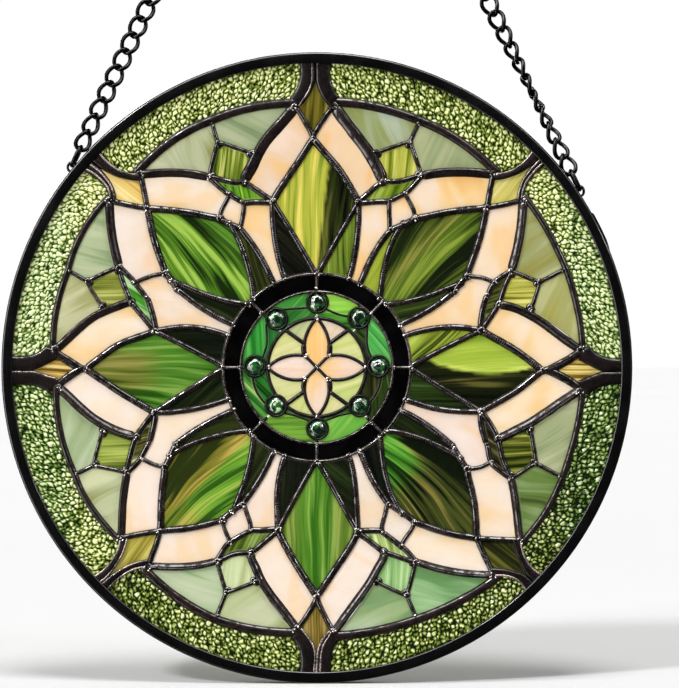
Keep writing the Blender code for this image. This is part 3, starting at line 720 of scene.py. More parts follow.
def add_glass(clay, four, sector, codes, grain=0.0, shade=0.5, contrast=1.0, lean=(0, 0), turn=None,
              pitch=1.1, seed=0, bend=0.0, fan=0.0, also=None):
    """One flat piece inside four runs of the wedge, placed in its sector.

    Its front swells by its crown times 16 u(1-u) v(1-v) to the power 0.6, with slight waves. grain is the
    direction of its streaks, in degrees from level, bend their curving, fan how much they spread out forward,
    and lean how much lighter the piece gets across and up. turn gives, for places in the disc, what it adds to
    the tone and how far the colours have gone over into those of also.
    """
    long, wide = (max(lengths(one)[-1], lengths(other)[-1]) for one, other in (four[::2], four[1::2]))
    u, v = (cosine_steps(int(np.clip(size / pitch, 6, 40))) for size in (long, wide))
    plane = in_sector(patch(four, u, v), sector)
    swell = (16 * (u * (1 - u))[:, None] * (v * (1 - v))[None]) ** 0.6
    uneven = waves(plane[..., 0], plane[..., 1], 9.0, seed) * np.minimum(swell * 2, 1)
    front = in_space(plane, GLASS_FRONT - GLASS_CROWN * swell - 0.05 * uneven)
    rear = in_space(plane, GLASS_REAR + GLASS_REAR_CROWN * swell)
    flat = plane.reshape(-1, 2)
    outline = np.vstack([along(run, np.linspace(0, 1, int(lengths(run)[-1] / 0.3) + 2)) for run in four])
    away = flat[:, None] - in_sector(outline, sector)[None]
    near = np.sqrt((away ** 2).sum(-1).min(-1)) - TUCK
    angle = math.radians(grain)
    offset = flat - flat.mean(0)
    reach = np.abs(offset).max()
    forward = offset @ (math.cos(angle), math.sin(angle))
    aside = offset @ (-math.sin(angle), math.cos(angle)) + bend * forward ** 2 / 100
    tone = shade + (offset @ np.array(lean, float)) / reach
    paints = tones(codes)
    if turn is not None:
        more, share = turn(*flat.T)
        tone = tone + more
        share = np.broadcast_to(share, tone.shape)[:, None]
        paints = {name: paint * (1 - share) + tones(also)[name] * share for name, paint in paints.items()}
    grains = np.stack([forward, aside / (1 + fan * forward / reach), np.full(len(flat), seed * 7.3)], -1)
    # The flow's third part, the distance from the outline, places the painted edge highlight
    flow = np.stack([tone, np.full(len(flat), contrast), near], -1)
    clay.slab(front, rear, grain=grains, flow=flow, **paints)


def joined(*runs):
    """Runs laid end to end, as one."""
    return np.vstack([runs[0]] + [run[1:] for run in runs[1:]])


def grouped(sides, *groups):
    """The four runs of a patch from the sides of an outline: each group names the sides that make one run,
    and an empty group is the corner that the run before it ends in. Without groups, each side is a run."""
    runs = trimmed(sides)
    four = []
    for group in groups or ([0], [1], [2], [3]):
        four.append(joined(*[runs[k] for k in group]) if group else np.array([four[-1][-1]] * 2))
    return four


def between(outer, inner):
    """The four runs of a piece between two runs that go the same way."""
    return [outer, np.array([outer[-1], inner[-1]]), inner[::-1], np.array([inner[0], outer[0]])]


SLIVER_LEG = circle_side(RING_OUTER, 27.1, 19.8)
ARCH = grouped([KITE_EDGE, ARCH_TOP, ARCH_SIDE, ARCH_END, ARCH_INNER], [0], [1, 2], [3], [4])
LEG = grouped([BLADE_FOOT, QUAD_SEAM, LEG_SIDE, SLIVER_LEG, back(SLIVER_SIDE)], [0], [1, 2], [3], [4])
WHOLE_LEG = grouped(
    [BLADE_FOOT, QUAD_EDGE, BAND_SEAM, LEG_NECK, LEG_TURN, LEG_SIDE, SLIVER_LEG, back(SLIVER_SIDE)],
    [0, 1, 2], [3, 4, 5], [6], [7],
)
QUAD = grouped([QUAD_EDGE, BAND_SEAM, LEG_NECK, LEG_TURN, back(QUAD_SEAM)], [0], [1], [2, 3], [4])
BAND = grouped([BAND_START, BAND_TOP, FAR_KITE_EDGE, FAR_LEAF_TOP, back(BAND_SEAM)], [4, 0], [1], [2], [3])
KITE_UPPER = bowed(KITE_TIP, KITE_SIDE, -0.8), 0.0
KITE_LOWER = bowed(KITE_SIDE, KITE_FOOT, 0.3), 0.0
KITE = grouped([KITE_UPPER, KITE_LOWER, across(KITE_LOWER), across(KITE_UPPER)])
FAR_KITE_UPPER = bowed(FAR_KITE_SIDE, FAR_KITE_TIP, -0.9), 0.0
FAR_KITE_LOWER = bowed(FAR_KITE_FOOT, FAR_KITE_SIDE), 0.0
FAR_KITE = grouped(
    [FAR_KITE_LOWER, FAR_KITE_UPPER, across_diagonal(FAR_KITE_UPPER), across_diagonal(FAR_KITE_LOWER)]
)
LEAF = grouped([back(ARCH_INNER), LEAF_SIDE, across(LEAF_SIDE), across(back(ARCH_INNER))])
FAR_LEAF_HALF = [back(FAR_LEAF_SIDE), back(LEG_NECK), back(FAR_LEAF_TOP)]
FAR_LEAF = grouped(
    [*FAR_LEAF_HALF, *map(across_diagonal, FAR_LEAF_HALF[::-1]), circle_side(RING_OUTER, 47.5, 42.5)],
    [6, 0], [1, 2], [3, 4], [5],
)
SLIVER = grouped([back(LEAF_SIDE), SLIVER_SIDE, circle_side(RING_OUTER, 19.8, 0.8)], [0], [], [1], [2])
FAR_SLIVER = grouped(
    [back(LEG_SIDE), back(LEG_TURN), FAR_LEAF_SIDE, circle_side(RING_OUTER, 42.5, 27.1)], [0, 1], [], [2], [3]
)
GROUND = grouped([circle_side(BORDER_CIRCLE, 4.6, 21.9, 0.1), back(DIVIDER), back(TILE_HEAD), back(ARCH_TOP)])
FAR_GROUND = grouped([circle_side(BORDER_CIRCLE, 21.9, 40.2, 0.1), back(BAND_TOP), back(TILE_SIDE), DIVIDER])
TILE = grouped([TILE_HEAD, TILE_SIDE, back(BLADE_TOP), back(ARCH_SIDE)])
BLADE = grouped(
    [BLADE_TOP, back(BAND_START), back(QUAD_EDGE), back(BLADE_FOOT), back(ARCH_END)], [0], [1], [2, 3], [4]
)
PETAL_HALF = [(3.3, 3.9), (1.0, 1.7), (0.5, 1.35)]
PETAL_END = np.array([*PETAL_HALF, (0.0, 1.25), *((-x, z) for x, z in PETAL_HALF[::-1])]), 0.0
PETAL = grouped([PETAL_SIDE, PETAL_END, across(PETAL_SIDE)], [0], [1], [2], [])
WEDGE = grouped(
    [circle_side(FLOWER_CIRCLE, 0, 40.1), back(SPLIT), cut(SPLIT_START, (0, FLOWER_CIRCLE), FINE_LEAD, -0.4)],
    [0], [1], [2], [],
)
FAR_WEDGE = grouped(
    [circle_side(FLOWER_CIRCLE, 40.1, 90), back(across_diagonal(PETAL_SIDE)),
     cut(PETAL_CORNER, SPLIT_START, FINE_LEAD), SPLIT]
)

STREAKED = streaked_glass("streaked_glass")
CLOUDED = streaked_glass("clouded_cream_glass", (18, 11, 1.3), (34, 5, 0.3), (24, 0.8, 0.04), 0.15, wander=6)
WISPY = streaked_glass("wispy_opal_glass", (30, 9, 1.0), (36, 2.2, 0.45), (26, 0.8, 0.15), 0.3, wander=6)

# What each sector's arch, leg with quad, and band are cut from: its warm patches, its body and its rosy wisps
CREAMS = (
    ("f4c488 f0cfa7 f0d8c0", "f6c98c f6d7ae f2dccb", "f0bc74 f5cf94 f4dcc2"),
    ("f5d09a f8debb f6e2cc", "f6d09c f6dcbc f4e0d0", "f6cf9c f5dbbc f6e0ca"),
    ("f8d096 f8dfba f8e4ca", "f3d2b4 f2ddce f4e2d6", "f6d4a6 f5dfc6 f4e2d0"),
    ("f4d4ae f6e4d4 f8e6da", "f1d6b8 efddc9 f2e2d4", "f6d8ae f7e3cc f8e8d6"),
    ("f7dab8 f6e3d0 f7e6da", "f4d2ac f4ddc9 f6e3d2", "f6d8b2 f7e0cb f8e7da"),
    ("f8d8aa f8e3ca f8e7d9", "f6d8b0 f6e1c9 f7e4d1", "f6d8b0 f8e2cb f8e5d6"),
    ("f8d49c f8e2c4 f6e6d8", "f4d2a8 f3ddc6 f4e0ce", "f2d2b0 f2dfcc f5e5d8"),
    ("f0c68c edcdac f0d7c0", "f6cc90 f4d7b0 f6dfc8", "f4ca8c f6d8b2 f6e4d0"),
)

# Where a band gets paler: to its left, below, and to its right
BAND_LEANS = {0: (-0.3, 0), 1: (0, -0.3), 7: (0.3, 0)}


def make_creams():
    clay = Clay()
    for sector, (arch, leg, band) in enumerate(CREAMS):
        turn = 90 - 45 * sector - (0 if sector % 2 else 22)
        add_glass(clay, ARCH, sector, arch, turn + 15, 0.5, 1.1, seed=sector)
        whole = sector not in SPLIT_SECTORS
        add_glass(clay, WHOLE_LEG if whole else LEG, sector, leg, turn + 10, 0.5, 1.1, seed=10 + sector)
        if not whole:
            add_glass(clay, QUAD, sector, leg, turn + 60, 0.55, 1.0, seed=20 + sector)
        lean = BAND_LEANS.get(sector, (0, 0))
        add_glass(clay, BAND, sector, band, turn + 50, 0.5, 1.1, lean, seed=30 + sector)
    nodes = [kind + place for kind in ("arch_glass_", "leg_band_glass_") for place in SECTORS]
    clay.piece("cream_glass_pieces", CLOUDED, "cream_glass", nodes)


# Upright and level leaves: colours, those they go over into, direction of the streaks, how light, how strong
LEAVES = (
    ("748c2c b2b640 ecda6a", "0a0e06 2a3212 6a6e2a", 86, 0.5, 0.9),
    ("7a9628 a4bc40 d2e068", "080c06 1a200c 605c2a", 2, 0.5, 0.6),
    ("336818 5a8c2a 94b854", "3c5014 647c2c 8c9c48", 88, 0.5, 1.0),
    ("24500e 4c8026 82a848", "3a4612 6a742a 948f4a", -3, 0.5, 0.9),
)
FAR_LEAVES = (
    ("141c0c 566c20 889c38", "1a240e 4c5a1e 8a8a3c", 48, 0.5, 0.9),
    ("10160a 464e1e 948440", "142e0e 3c7c1e 74b844", -44, 0.5, 1.1),
    ("305814 689e2e a6bc4e", "2a3410 807c2a c8ac54", 42, 0.5, 1.2),
    ("182a0c 52801f a0c450", "0c180a 2c4c16 5c8c2c", -50, 0.55, 1.2),
)
# The dark slivers: those beside the upright and level leaves, then those beside the diagonal ones
SLIVERS = (
    "1e2c0c 6e8628 b0c060", "2a3a0c 98aa38 c0d05c", "101c0a 2a3c14 42602a", "0c120a 1a2210 30401c",
    "0c0e08 161a10 2a3018", "0c1408 18220e 2c381a", "0a0e08 141a0e 2c3618", "0c0c0a 181a12 34381f",
)
FAR_SLIVERS = (
    "4a5014 98a832 bcc858", "0e1608 2c3a14 58682c", "10160a 222e12 44562a", "080a08 12160e 26301a",
    "0e120a 222a12 465224", "161c0c 2c3614 485420", "0c120a 181f0e 303c1a", "1e240f 454c1c 646e2a",
)


def make_leaves():
    clay = Clay()
    diagonal = math.sqrt(2)

    def glow(value, middle, breadth):
        """1 at the middle and less beside it: e to the minus the square of the distance over the breadth."""
        return np.exp(-((value - middle) / breadth) ** 2)

    def top_leaf(x, z):
        side = x - 1.2 - 0.11 * (z - 42)
        olive = 0.45 * glow(side, 1.8, 1.2) * step(z, 62, 50) + 0.35 * glow(side, 6.5, 1.0) * step(z, 50, 42)
        return 0.12 * np.sin(x * 1.1 + 1.4) + olive - 0.25 * step(side, 1.0, 4.0), step(side, -0.3, 0.4)

    def right_leaf(x, z):
        up = z + 1.9 - 0.0105 * (x - 55) ** 2
        tone = 0.3 * glow(up, 0.7, 0.6) - 0.35 * step(up, 6, 12) + 0.5 * glow(up, -3.4, 1.0) * glow(x, 53, 8)
        return tone - 0.1 * step(-up, 0, 2), step(up, 0.25, -0.25)

    def bottom_leaf(x, z):
        return 0.15 * np.sin(x * 1.3), 0.8 * step(np.abs(x + 0.5), 3.0, 7.5)

    def left_leaf(x, z):
        tone = 0.1 - 0.6 * glow(z, -8.2, 1.3) * step(x, -44, -52)
        return tone, step(x, -46, -58) * step(np.abs(z + 1), 8, 4)

    def upper_right(x, z):
        side, out = (z - x) / diagonal, (x + z) / diagonal
        tone = 0.3 * glow(side, 3.2, 1.6) - 0.35 * step(side, 4.5, 8.5) - 0.45 * step(side, -2.5, -8)
        return tone + 0.25 * glow(side, -0.5, 2.5) - 0.15 * step(out, 56, 66), step(side, 0.5, 3.0)

    def lower_right(x, z):
        side, out = (x + z) / diagonal, (x - z) / diagonal
        tone = 0.3 * glow(side, -1.5, 2.2) - 0.75 * step(side, 1.5, 4.5) - 0.25 * step(side, -5, -9)
        return tone, step(out, 49, 40) * step(side, 3.5, 1.0)

    def lower_left(x, z):
        side, out = (z - x) / diagonal, -(x + z) / diagonal
        tone = 0.25 * glow(side, 0.9, 1.2) - 0.3 * step(side, 2.2, 5.0)
        return tone, np.maximum(step(side, -1.5, 0.6), 0.6 * step(out, 56, 64))

    def upper_left(x, z):
        side = (x + z) / diagonal
        return 0.3 * np.sin(side * 0.7 + 1), step(side, 2, 9)

    kinds = (
        (LEAF, LEAVES, (top_leaf, right_leaf, bottom_leaf, left_leaf), 0.3, 0.25, 40),
        (FAR_LEAF, FAR_LEAVES, (upper_right, lower_right, lower_left, upper_left), 0.5, 0.3, 50),
    )
    for piece, looks, turns, bend, fan, seed in kinds:
        for quarter, (codes, also, grain, shade, contrast) in enumerate(looks):
            add_glass(clay, piece, 2 * quarter, codes, grain, shade, contrast, turn=turns[quarter],
                      seed=seed + quarter, bend=bend, fan=fan, also=also)
    for sector in range(8):
        add_glass(clay, SLIVER, sector, SLIVERS[sector], 90 - 45 * sector, 0.45, 0.8, seed=60 + sector)
        add_glass(clay, FAR_SLIVER, sector, FAR_SLIVERS[sector], 60 - 45 * sector, 0.45, 0.8, seed=70 + sector)
    nodes = ["leaf_glass_" + place for place in QUARTERS + CORNERS]
    clay.piece("leaf_glass_pieces", STREAKED, "leaf_green_glass", nodes)


GROUNDS = (
    "909a5c a2ac84 b0baa0", "a8a04c a8a868 b8b880", "86966a a4ac80 c0c09a", "7c9c68 9cb27e b4c4a2",
    "a8b07c bac494 c8cca6", "96a678 a4b688 bcc8a4", "a8a870 c4c498 d0d2a8", "7c8e66 9caa80 b0b892",
)
FAR_GROUNDS = (
    "8a9868 9ca67a b0b488", "98944e 9ea26c bebc88", "465428 66803e 869c66", "6a965c 8cb47c a4c490",
    "98b682 b8c8a0 c6ceac", "9c9e68 bec49a d0d4a8", "92a478 b2be94 c0c8a0", "8c8c4c b4ba92 cacaa6",
)
TILES = (
    "6a781a b4b648 dcdc78", "5e5c12 bab850 eae484", "1c2a08 565c1a b0b458", "62925c 90ba74 bcdc9c",
    "b6c086 ccd8a4 dee8ba", "566620 92a244 b8c464", "4c5c18 8e943e c4c874", "163206 667a1c ccd070",
)
BLADES = (
    "46640c 82982a a6bb50", "181204 34380f 6e783a", "161406 302c14 7a744a", "5c7c24 bcd080 e4f4b4",
    "3c5010 708634 94ae62", "140e04 5c5c2c ccd090", "184c10 4a9a2c c4e8a8", "2c6410 6ea42c a4d048",
)


def make_grounds():
    nodes = ["ground_glass_" + place for place in SECTORS]
    clay = Clay()
    for sector in range(8):
        level = 0 if sector in LOWEST_SECTORS else 90 - 45 * sector
        add_glass(clay, GROUND, sector, GROUNDS[sector], level + 25, 0.5, 1.3, seed=80 + sector)
        add_glass(clay, FAR_GROUND, sector, FAR_GROUNDS[sector], level - 15, 0.5, 1.3, seed=90 + sector)
    clay.piece("opal_ground_pieces", WISPY, "pale_green_glass", nodes)
    clay = Clay()
    for sector in range(8):
        streak = 0 if sector in SIDE_SECTORS else 85
        add_glass(clay, TILE, sector, TILES[sector], streak, 0.55, 1.2, seed=100 + sector)
        add_glass(clay, BLADE, sector, BLADES[sector], 60 - 45 * sector, 0.45, 1.3, seed=110 + sector)
    clay.piece("tile_and_blade_pieces", STREAKED, "pale_green_glass", nodes)


KITES = ("3c3a0c 6a601c 9c8c3e", "4c380c a88c3c f4dc88", "3c300c 766322 a89050", "6a4e18 bc9a48 f0d488")
FAR_KITES = ("a09840 d2c768 f0e09e", "080806 282c10 6c6a28", "827a2c b4a648 d8ca70", "cc9a44 f2d078 fce9a8")


def make_kites():
    clay = Clay()
    for quarter, (grain, far_grain) in enumerate(((90, 50), (0, -40), (90, -130), (0, -35))):
        add_glass(clay, KITE, 2 * quarter, KITES[quarter], grain, 0.5, 1.3, seed=120 + quarter)
        add_glass(clay, FAR_KITE, 2 * quarter, FAR_KITES[quarter], far_grain, 0.55, 0.9, seed=130 + quarter)
    nodes = ["kite_glass_" + place for place in QUARTERS + CORNERS]
    clay.piece("kite_glass_pieces", STREAKED, "amber_glass", nodes)


def nearest_two(x, z, size, seed):
    """Distances to the nearest and the next of scattered middles, one in each cell of a grid this size."""
    cells = 64
    table = np.random.default_rng(SEED + seed).uniform(0.08, 0.92, (cells, cells, 2))
    x, z = x / size, z / size
    column, row = np.floor(x).astype(int), np.floor(z).astype(int)
    found = []
    for right in (-1, 0, 1):
        for up in (-1, 0, 1):
            middle = table[(column + right) % cells, (row + up) % cells]
            found.append(np.hypot(column + right + middle[..., 0] - x, row + up + middle[..., 1] - z))
    found = np.sort(found, axis=0)
    return found[0] * size, found[1] * size


# Painted light on the border glass in each sector: lightest at the upper left, darkest at the lower right
BORDER_PAINTED_LIGHT = (0.05, 0.2, -0.27, -0.2, -0.12, 0.05, 0.4, 0.1)
PEBBLE = 1.4  # size of the cells that the pebbles grow from
PEBBLE_HEIGHT = 0.55
EDGE_DEPTH = 0.15  # how far the border glass is ground down at its edges, on both faces
BORDER_REACH = 97.0  # the border glass goes this far out, under the rim


def make_border():
    """Hammered glass: pebbles stand where the nearest scattered middle is much nearer than the next."""
    horn = bowed(BORDER_START_FOOT, BORDER_START, 1.0), 0.0
    far_horn = bowed(BORDER_END, BORDER_END_FOOT, 1.6), 0.0
    start, end = (math.degrees(math.atan2(*point)) for point in (BORDER_START, BORDER_END))
    inner = circle_side(BORDER_CIRCLE, 40.6, 5.0, PLAIN_LEAD / 2)
    four = grouped([circle_side(BORDER_REACH, start, end, 0.0), far_horn, inner, horn])
    u, v = np.linspace(0, 1, 168), np.linspace(0, 1, 31)
    long, wide = 66, 12  # about what a piece measures
    clay = Clay()
    for sector in range(8):
        plane = in_sector(patch(four, u, v), sector)
        x, z = plane[..., 0], plane[..., 1]
        wander = [0.6 * waves(x, z, 4.0, seed) for seed in (3, 4)]
        first, second = nearest_two(x + wander[0] + 200, z + wander[1] + 200, PEBBLE, 5)
        near = np.minimum(np.minimum(u, 1 - u)[:, None] * long, np.minimum(v, 1 - v)[None] * wide)
        height = step(second - first, 0.06, 0.9) * (1 - 0.2 * np.clip(first, 0, PEBBLE))
        height = height * (0.85 + 0.4 * waves(x, z, 3.3, 6)) * step(near, 0.0, 0.5)
        front = in_space(plane, GLASS_FRONT + EDGE_DEPTH - PEBBLE_HEIGHT * height)
        rear = in_space(plane, GLASS_REAR - EDGE_DEPTH + 0.05 * waves(x, z, 7.0, 8))
        # The sector's painted light plus slow random waves of tone; the height gives the pebbles' painted light
        painted_light_and_tone = BORDER_PAINTED_LIGHT[sector] + 0.12 * waves(x, z, 28.0, 7)
        flow = np.stack([height, painted_light_and_tone, 0.5 * step(np.abs(x), 72, 84)], -1).reshape(-1, 3)
        clay.slab(front, rear, flow=flow)
    nodes = ["border_glass_" + place for place in SECTORS]
    clay.piece("border_glass_pieces", hammered_glass(), "hammered_green_glass", nodes, sharp=80)


# How far out the green ring's own seam runs in each sector, at SEAM_ANGLES from the upright or level gem
SEAM_ANGLES = (0, 10, 21, 32, 40, 45)
SEAMS = (
    (18.9, 18.6, 18.3, 19.0, 21.0, 22.0), (17.6, 17.5, 17.5, 18.4, 21.2, 22.4),
    (20.4, 20.6, 20.6, 20.1, 19.6, 19.3), (17.2, 16.9, 16.7, 17.2, 18.6, 19.4),
    (17.0, 16.9, 16.7, 17.2, 18.6, 19.4), (20.4, 20.6, 20.6, 20.1, 19.6, 19.3),
    (17.6, 17.5, 17.5, 18.4, 21.2, 22.4), (19.0, 19.3, 20.0, 21.6, 22.6, 22.8),
)


def seam_line(sector, start, end):
    """The seam of one sector: its radius goes smoothly through the sector's row of SEAMS."""
    angles = np.linspace(start, end, 20)
    return on_circle(1.0, angles) * fitted(SEAM_ANGLES, SEAMS[sector], 4, angles)[:, None]


# What lies inside the seam in each sector, and outside it
GREENS = (
    ("1e5014 4f9630 84c04c", "5cac30 8ecc48 b4e068"), ("080c04 1e2a10 3c5a24", "1c5c20 4aa84c 78c468"),
    ("0c1006 2a2e12 485026", "0e180a 2c4018 809448"), ("122c0c 2c5c1c 4c8c30", "347420 6ab040 94c458"),
    ("14280c 30541c 568430", "44701e 74a83a a0b850"), ("0e2c0c 2c7428 4c9438", "246024 52983a ccd888"),
    ("103a14 2a7230 4c9c44", "1c6c20 3c9c3c 68b858"), ("123a10 2c6c2a 4f9440", "1e6020 3f9038 78b850"),
)


RING_PIECE = 0.6, 44.4  # where a piece of the two rings starts and ends, in degrees


def make_green_ring():
    clay = Clay()
    low, high = FLOWER_CIRCLE + FINE_LEAD / 2 - TUCK, RING_INNER - FINE_LEAD / 2 + TUCK
    for sector, (inside, outside) in enumerate(GREENS):
        seam = seam_line(sector, *RING_PIECE)
        inner = between(seam * 0.994, arc(low, *RING_PIECE))
        outer = between(arc(high, *RING_PIECE), seam * 1.006)
        add_glass(clay, inner, sector, inside, -45 * sector, 0.5, 0.9, seed=140 + sector)
        add_glass(clay, outer, sector, outside, -45 * sector, 0.5, 0.9, seed=150 + sector)
    clay.piece("green_ring_pieces", STREAKED, "vivid_green_glass", ["green_ring_glass"])


def make_black_ring():
    """Opaque black glass, flat and smooth, in eight pieces."""
    clay = Clay()
    low, high = RING_INNER - TUCK, RING_OUTER - FINE_LEAD / 2 + TUCK
    for sector in range(8):
        four = between(arc(high, *RING_PIECE), arc(low, *RING_PIECE))
        add_glass(clay, four, sector, "020202 050505 0a0a0a", seed=160 + sector)
    finish = black_paint("black_glass", 0.2, 0.004, "060606", specular=0.2)
    clay.piece("black_ring_pieces", finish, "black_glass", ["black_ring_glass"])


# The petals from the top: their colours, and those they go over into
PETALS = (
    ("f4b868 fac880 fbd8a4", "f4c890 f8d6ac fae0c4"), ("f2bc7c f8cc8c f8d8ac", "f0ccb0 f3d6c2 f6e0d0"),
    ("f2c07c f8d092 fadeae", "f0ccac f3d8c0 f6e2d0"), ("f0ccb0 f3d8c4 f6e2d4", "ecc8b0 f0d6c4 f6e0d4"),
)
# The grounds beside the upright and the level petal, in each split sector
FLOWER_GROUNDS = (
    ("e0c8a8 e8d4b8 eedcc4", "c8d078 d6da8e e4e2a4"), ("d0cc84 dcd898 e8e2ac", "bccc70 cdd684 dedf9c"),
    ("c4cc74 d4d68a e4e0a4", "c8cc80 d8d896 e8e4b0"), ("b4bc80 c4c890 d4d4a4", "c4cc78 dad892 e8e2a8"),
)


def make_flower():
    clay = Clay()
    for quarter, (codes, also) in enumerate(PETALS):
        add_glass(clay, PETAL, 2 * quarter, codes, 90 - 90 * quarter, 0.55, 0.7, pitch=0.7,
                  seed=170 + quarter, also=also,
                  turn=lambda x, z: (0.0, step(x if quarter % 2 else x - z, 1, 12)))
    clay.piece("flower_petal_pieces", STREAKED, "peach_glass", ["flower_petals"])
    clay = Clay()
    for sector, (near, far) in zip(SPLIT_SECTORS, FLOWER_GROUNDS):
        add_glass(clay, WEDGE, sector, near, 60, 0.5, 0.8, pitch=0.7, seed=180 + sector)
        add_glass(clay, FAR_WEDGE, sector, far, 20, 0.5, 0.8, pitch=0.7, seed=190 + sector)
    nodes = ["flower_ground_" + corner for corner in CORNERS]
    clay.piece("flower_ground_pieces", STREAKED, "lime_cream_glass", nodes)


# ---------------------------------------------------------------- round things

def turned(middle, profile, steps, lumps=0.0, seed=0):
    """Rings of points about a middle in the disc's plane: profile rows are (radius, depth)."""
    radius, depth = np.array(profile, float).T
    angle = np.linspace(0, 2 * np.pi, steps, endpoint=False)
    radius = radius[:, None] * np.ones(steps)
    if lumps:
        phase = np.random.default_rng(SEED + seed).uniform(0, 2 * np.pi, 3)
        radius = radius * (1 + lumps * (np.sin(2 * angle + phase[0]) + np.sin(3 * angle + phase[1])))
    x, z = middle[0] + radius * np.sin(angle), middle[1] + radius * np.cos(angle)
    return np.stack([x, depth[:, None] + 0 * radius, z], -1)


def add_turned(clay, middle, profile, steps, **how):
    """A closed turned shape whose profile starts and ends on its axis."""
    rings = turned(middle, profile, steps, **how)
    clay.add(rings, grid_faces(len(rings), steps, close_columns=True))


def make_gems():
    """Domed glass gems: a superellipse turned about its axis over a straight foot, each a little lumpy."""
    clay = Clay()
    rise = np.radians(np.linspace(0, 90, 8)[:-1])
    foot, height = -0.9, 2.1
    dome = [(GEM_FACE * math.cos(a) ** 0.8, foot - height * math.sin(a)) for a in rise]
    dome = [(0.0, 1.4), *dome, (0.0, foot - height)]
    for k, middle in enumerate(GEM_MIDDLES):
        add_turned(clay, middle, dome, 20, lumps=0.02, seed=200 + k)
    finish = Finish("gem_glass", **principled(0.05, specular=0.9, coat=1.0))
    spot = finish.place()
    cloud = finish.noise(spot, size=2.0, detail=1)
    colour = finish.mix(cloud.smooth(0.3, 0.75), linear("0a1e0e"), linear("2f6a36"))
    # Light green spots where the noise peaks stand in for glints on the gems: painted highlight
    colour = finish.mix(cloud.smooth(0.78, 0.9), colour, linear("d8f0b8"))
    lumps = finish.noise(spot, size=2.2, detail=1)
    made = finish.finished(colour=colour, normal=finish.bump(lumps, 0.45))
    clay.piece("gems", made, "vivid_green_glass", ["green_ring_glass"])


# ---------------------------------------------------------------- leads

def add_bead(clay, path, width, height, base=FRONT, seed=0, ribs=0.0, closed=False, pitch=0.75, side=9,
             lean=0.0):
    """Half an ellipse carried along a run, away from the middle of the glass: its width and height waver by a
    few per cent, lean makes its right side that share higher, and its ends are drawn in round. ribs tells its
    material how strongly it is milled across."""
    total = lengths(path)[-1]
    share = np.linspace(0, 1, max(int(total / pitch), 6) + 1)
    if closed:
        share = share[:-1]
    else:
        end = width * 0.5 / total * (1 - np.cos(np.linspace(0, np.pi / 2, 4)))
        kept = (share > end[-1] + 0.2 / total) & (share < 1 - end[-1] - 0.2 / total)
        share = np.concatenate([end, share[kept], 1 - end[::-1]])
    spine = along(path, share)
    reach = share * total
    near = np.minimum(reach, total - reach) / (width / 2)
    fade = np.ones(len(share)) if closed else np.sqrt(np.clip(1 - np.clip(1 - near, 0, 1) ** 2, 0, 1))
    waver = 1 + 0.07 * waves(reach, reach * 0, 7.0, seed) + 0.04 * waves(reach, reach * 0, 2.3, seed + 1)
    angle = np.linspace(np.pi, 0, side)
    aside = np.cos(angle)[None] * (width / 2 * fade * (0.5 + 0.5 * waver))[:, None]
    lift = (np.sin(angle) * (1 + lean * np.cos(angle)))[None] * (height * fade * waver)[:, None]
    plane = spine[:, None] + aside[..., None] * normals(spine, closed)[:, None]
    points = in_space(plane, base + math.copysign(1, base) * lift)
    tooth = np.repeat(np.stack([reach, np.full(len(reach), float(seed)), fade * ribs], -1), side, axis=0)
    clay.add(points, grid_faces(len(share), side, close_rows=closed, close_columns=True), ribs=tooth)


def lead_piece(clay, name, finish):
    clay.piece(name, finish, "dark_patinated_lead", ["lead_net"])


LEG_BEND = joined(LEG_NECK[0], LEG_TURN[0]), MAIN_LEAD / 2
# (lead, how far its bead lies to the right of the cut, width, height above its base, ribs)
WEDGE_LEADS = (
    (KITE_EDGE, -0.55, 1.9, 1.15, 0.3), (ARCH_END, 0.2, 2.0, 1.1, 0.4), (ARCH_INNER, 0.05, 2.5, 1.3, 1.0),
    (LEAF_SIDE, 0.0, 2.0, 1.15, 0.9), (SLIVER_SIDE, -0.1, 2.1, 1.15, 1.0), (BLADE_TOP, -0.2, 1.8, 1.1, 0.3),
    (BLADE_FOOT, 0.4, 2.0, 1.1, 0.3), (QUAD_EDGE, 0.0, 1.9, 1.1, 0.2), (BAND_START, 0.3, 1.9, 1.1, 0.2),
    (FAR_KITE_EDGE, 0.1, 2.0, 1.15, 0.8), (FAR_LEAF_TOP, -0.5, 2.4, 1.3, 0.6),
    (FAR_LEAF_SIDE, 0.0, 2.0, 1.15, 1.0), (LEG_BEND, -0.4, 2.3, 1.3, 0.8), (LEG_SIDE, -0.4, 2.2, 1.3, 1.0),
    (BAND_SEAM, 0.2, 1.5, 1.0, 0.8), (TILE_HEAD, -0.3, 1.4, 1.0, 0.4), (TILE_SIDE, -0.1, 1.5, 1.0, 0.8),
    (DIVIDER, 0.0, 1.5, 1.0, 0.8),
)
# Those that only some sectors have: in the sectors, and what WEDGE_LEADS says
SECTOR_LEADS = (
    (SIDE_SECTORS, (KITE_EDGE, -1.3, 2.4, 1.2, 0.2)),
    (SPLIT_SECTORS, (QUAD_SEAM, 0.4, 1.6, 1.0, 0.9)),
)
# The thick leads, which carry slender piping along their outer side: (points, shift, width in each sector)
THICK_LEADS = (
    (ARCH_LEAD, 0.0, (4.0, 2.9, 3.1, 2.8, 2.9, 3.1, 2.8, 3.9)),
    (BAND_TOP[0], 0.5, (3.1, 3.1, 2.6, 2.5, 2.5, 2.7, 3.0, 2.9)),
)
# The bead round the rosette, above and below and then at the sides: radius of its middle, width
BORDER_LEADS = (85.2, 3.0), (84.7, 2.2)


def eased(points, distance):
    """A run set to its right by this distance, but for its two ends, which keep their places."""
    share = lengths(points) / lengths(points)[-1]
    return points + normals(points) * (distance * np.sin(np.pi * share) ** 0.3)[:, None]


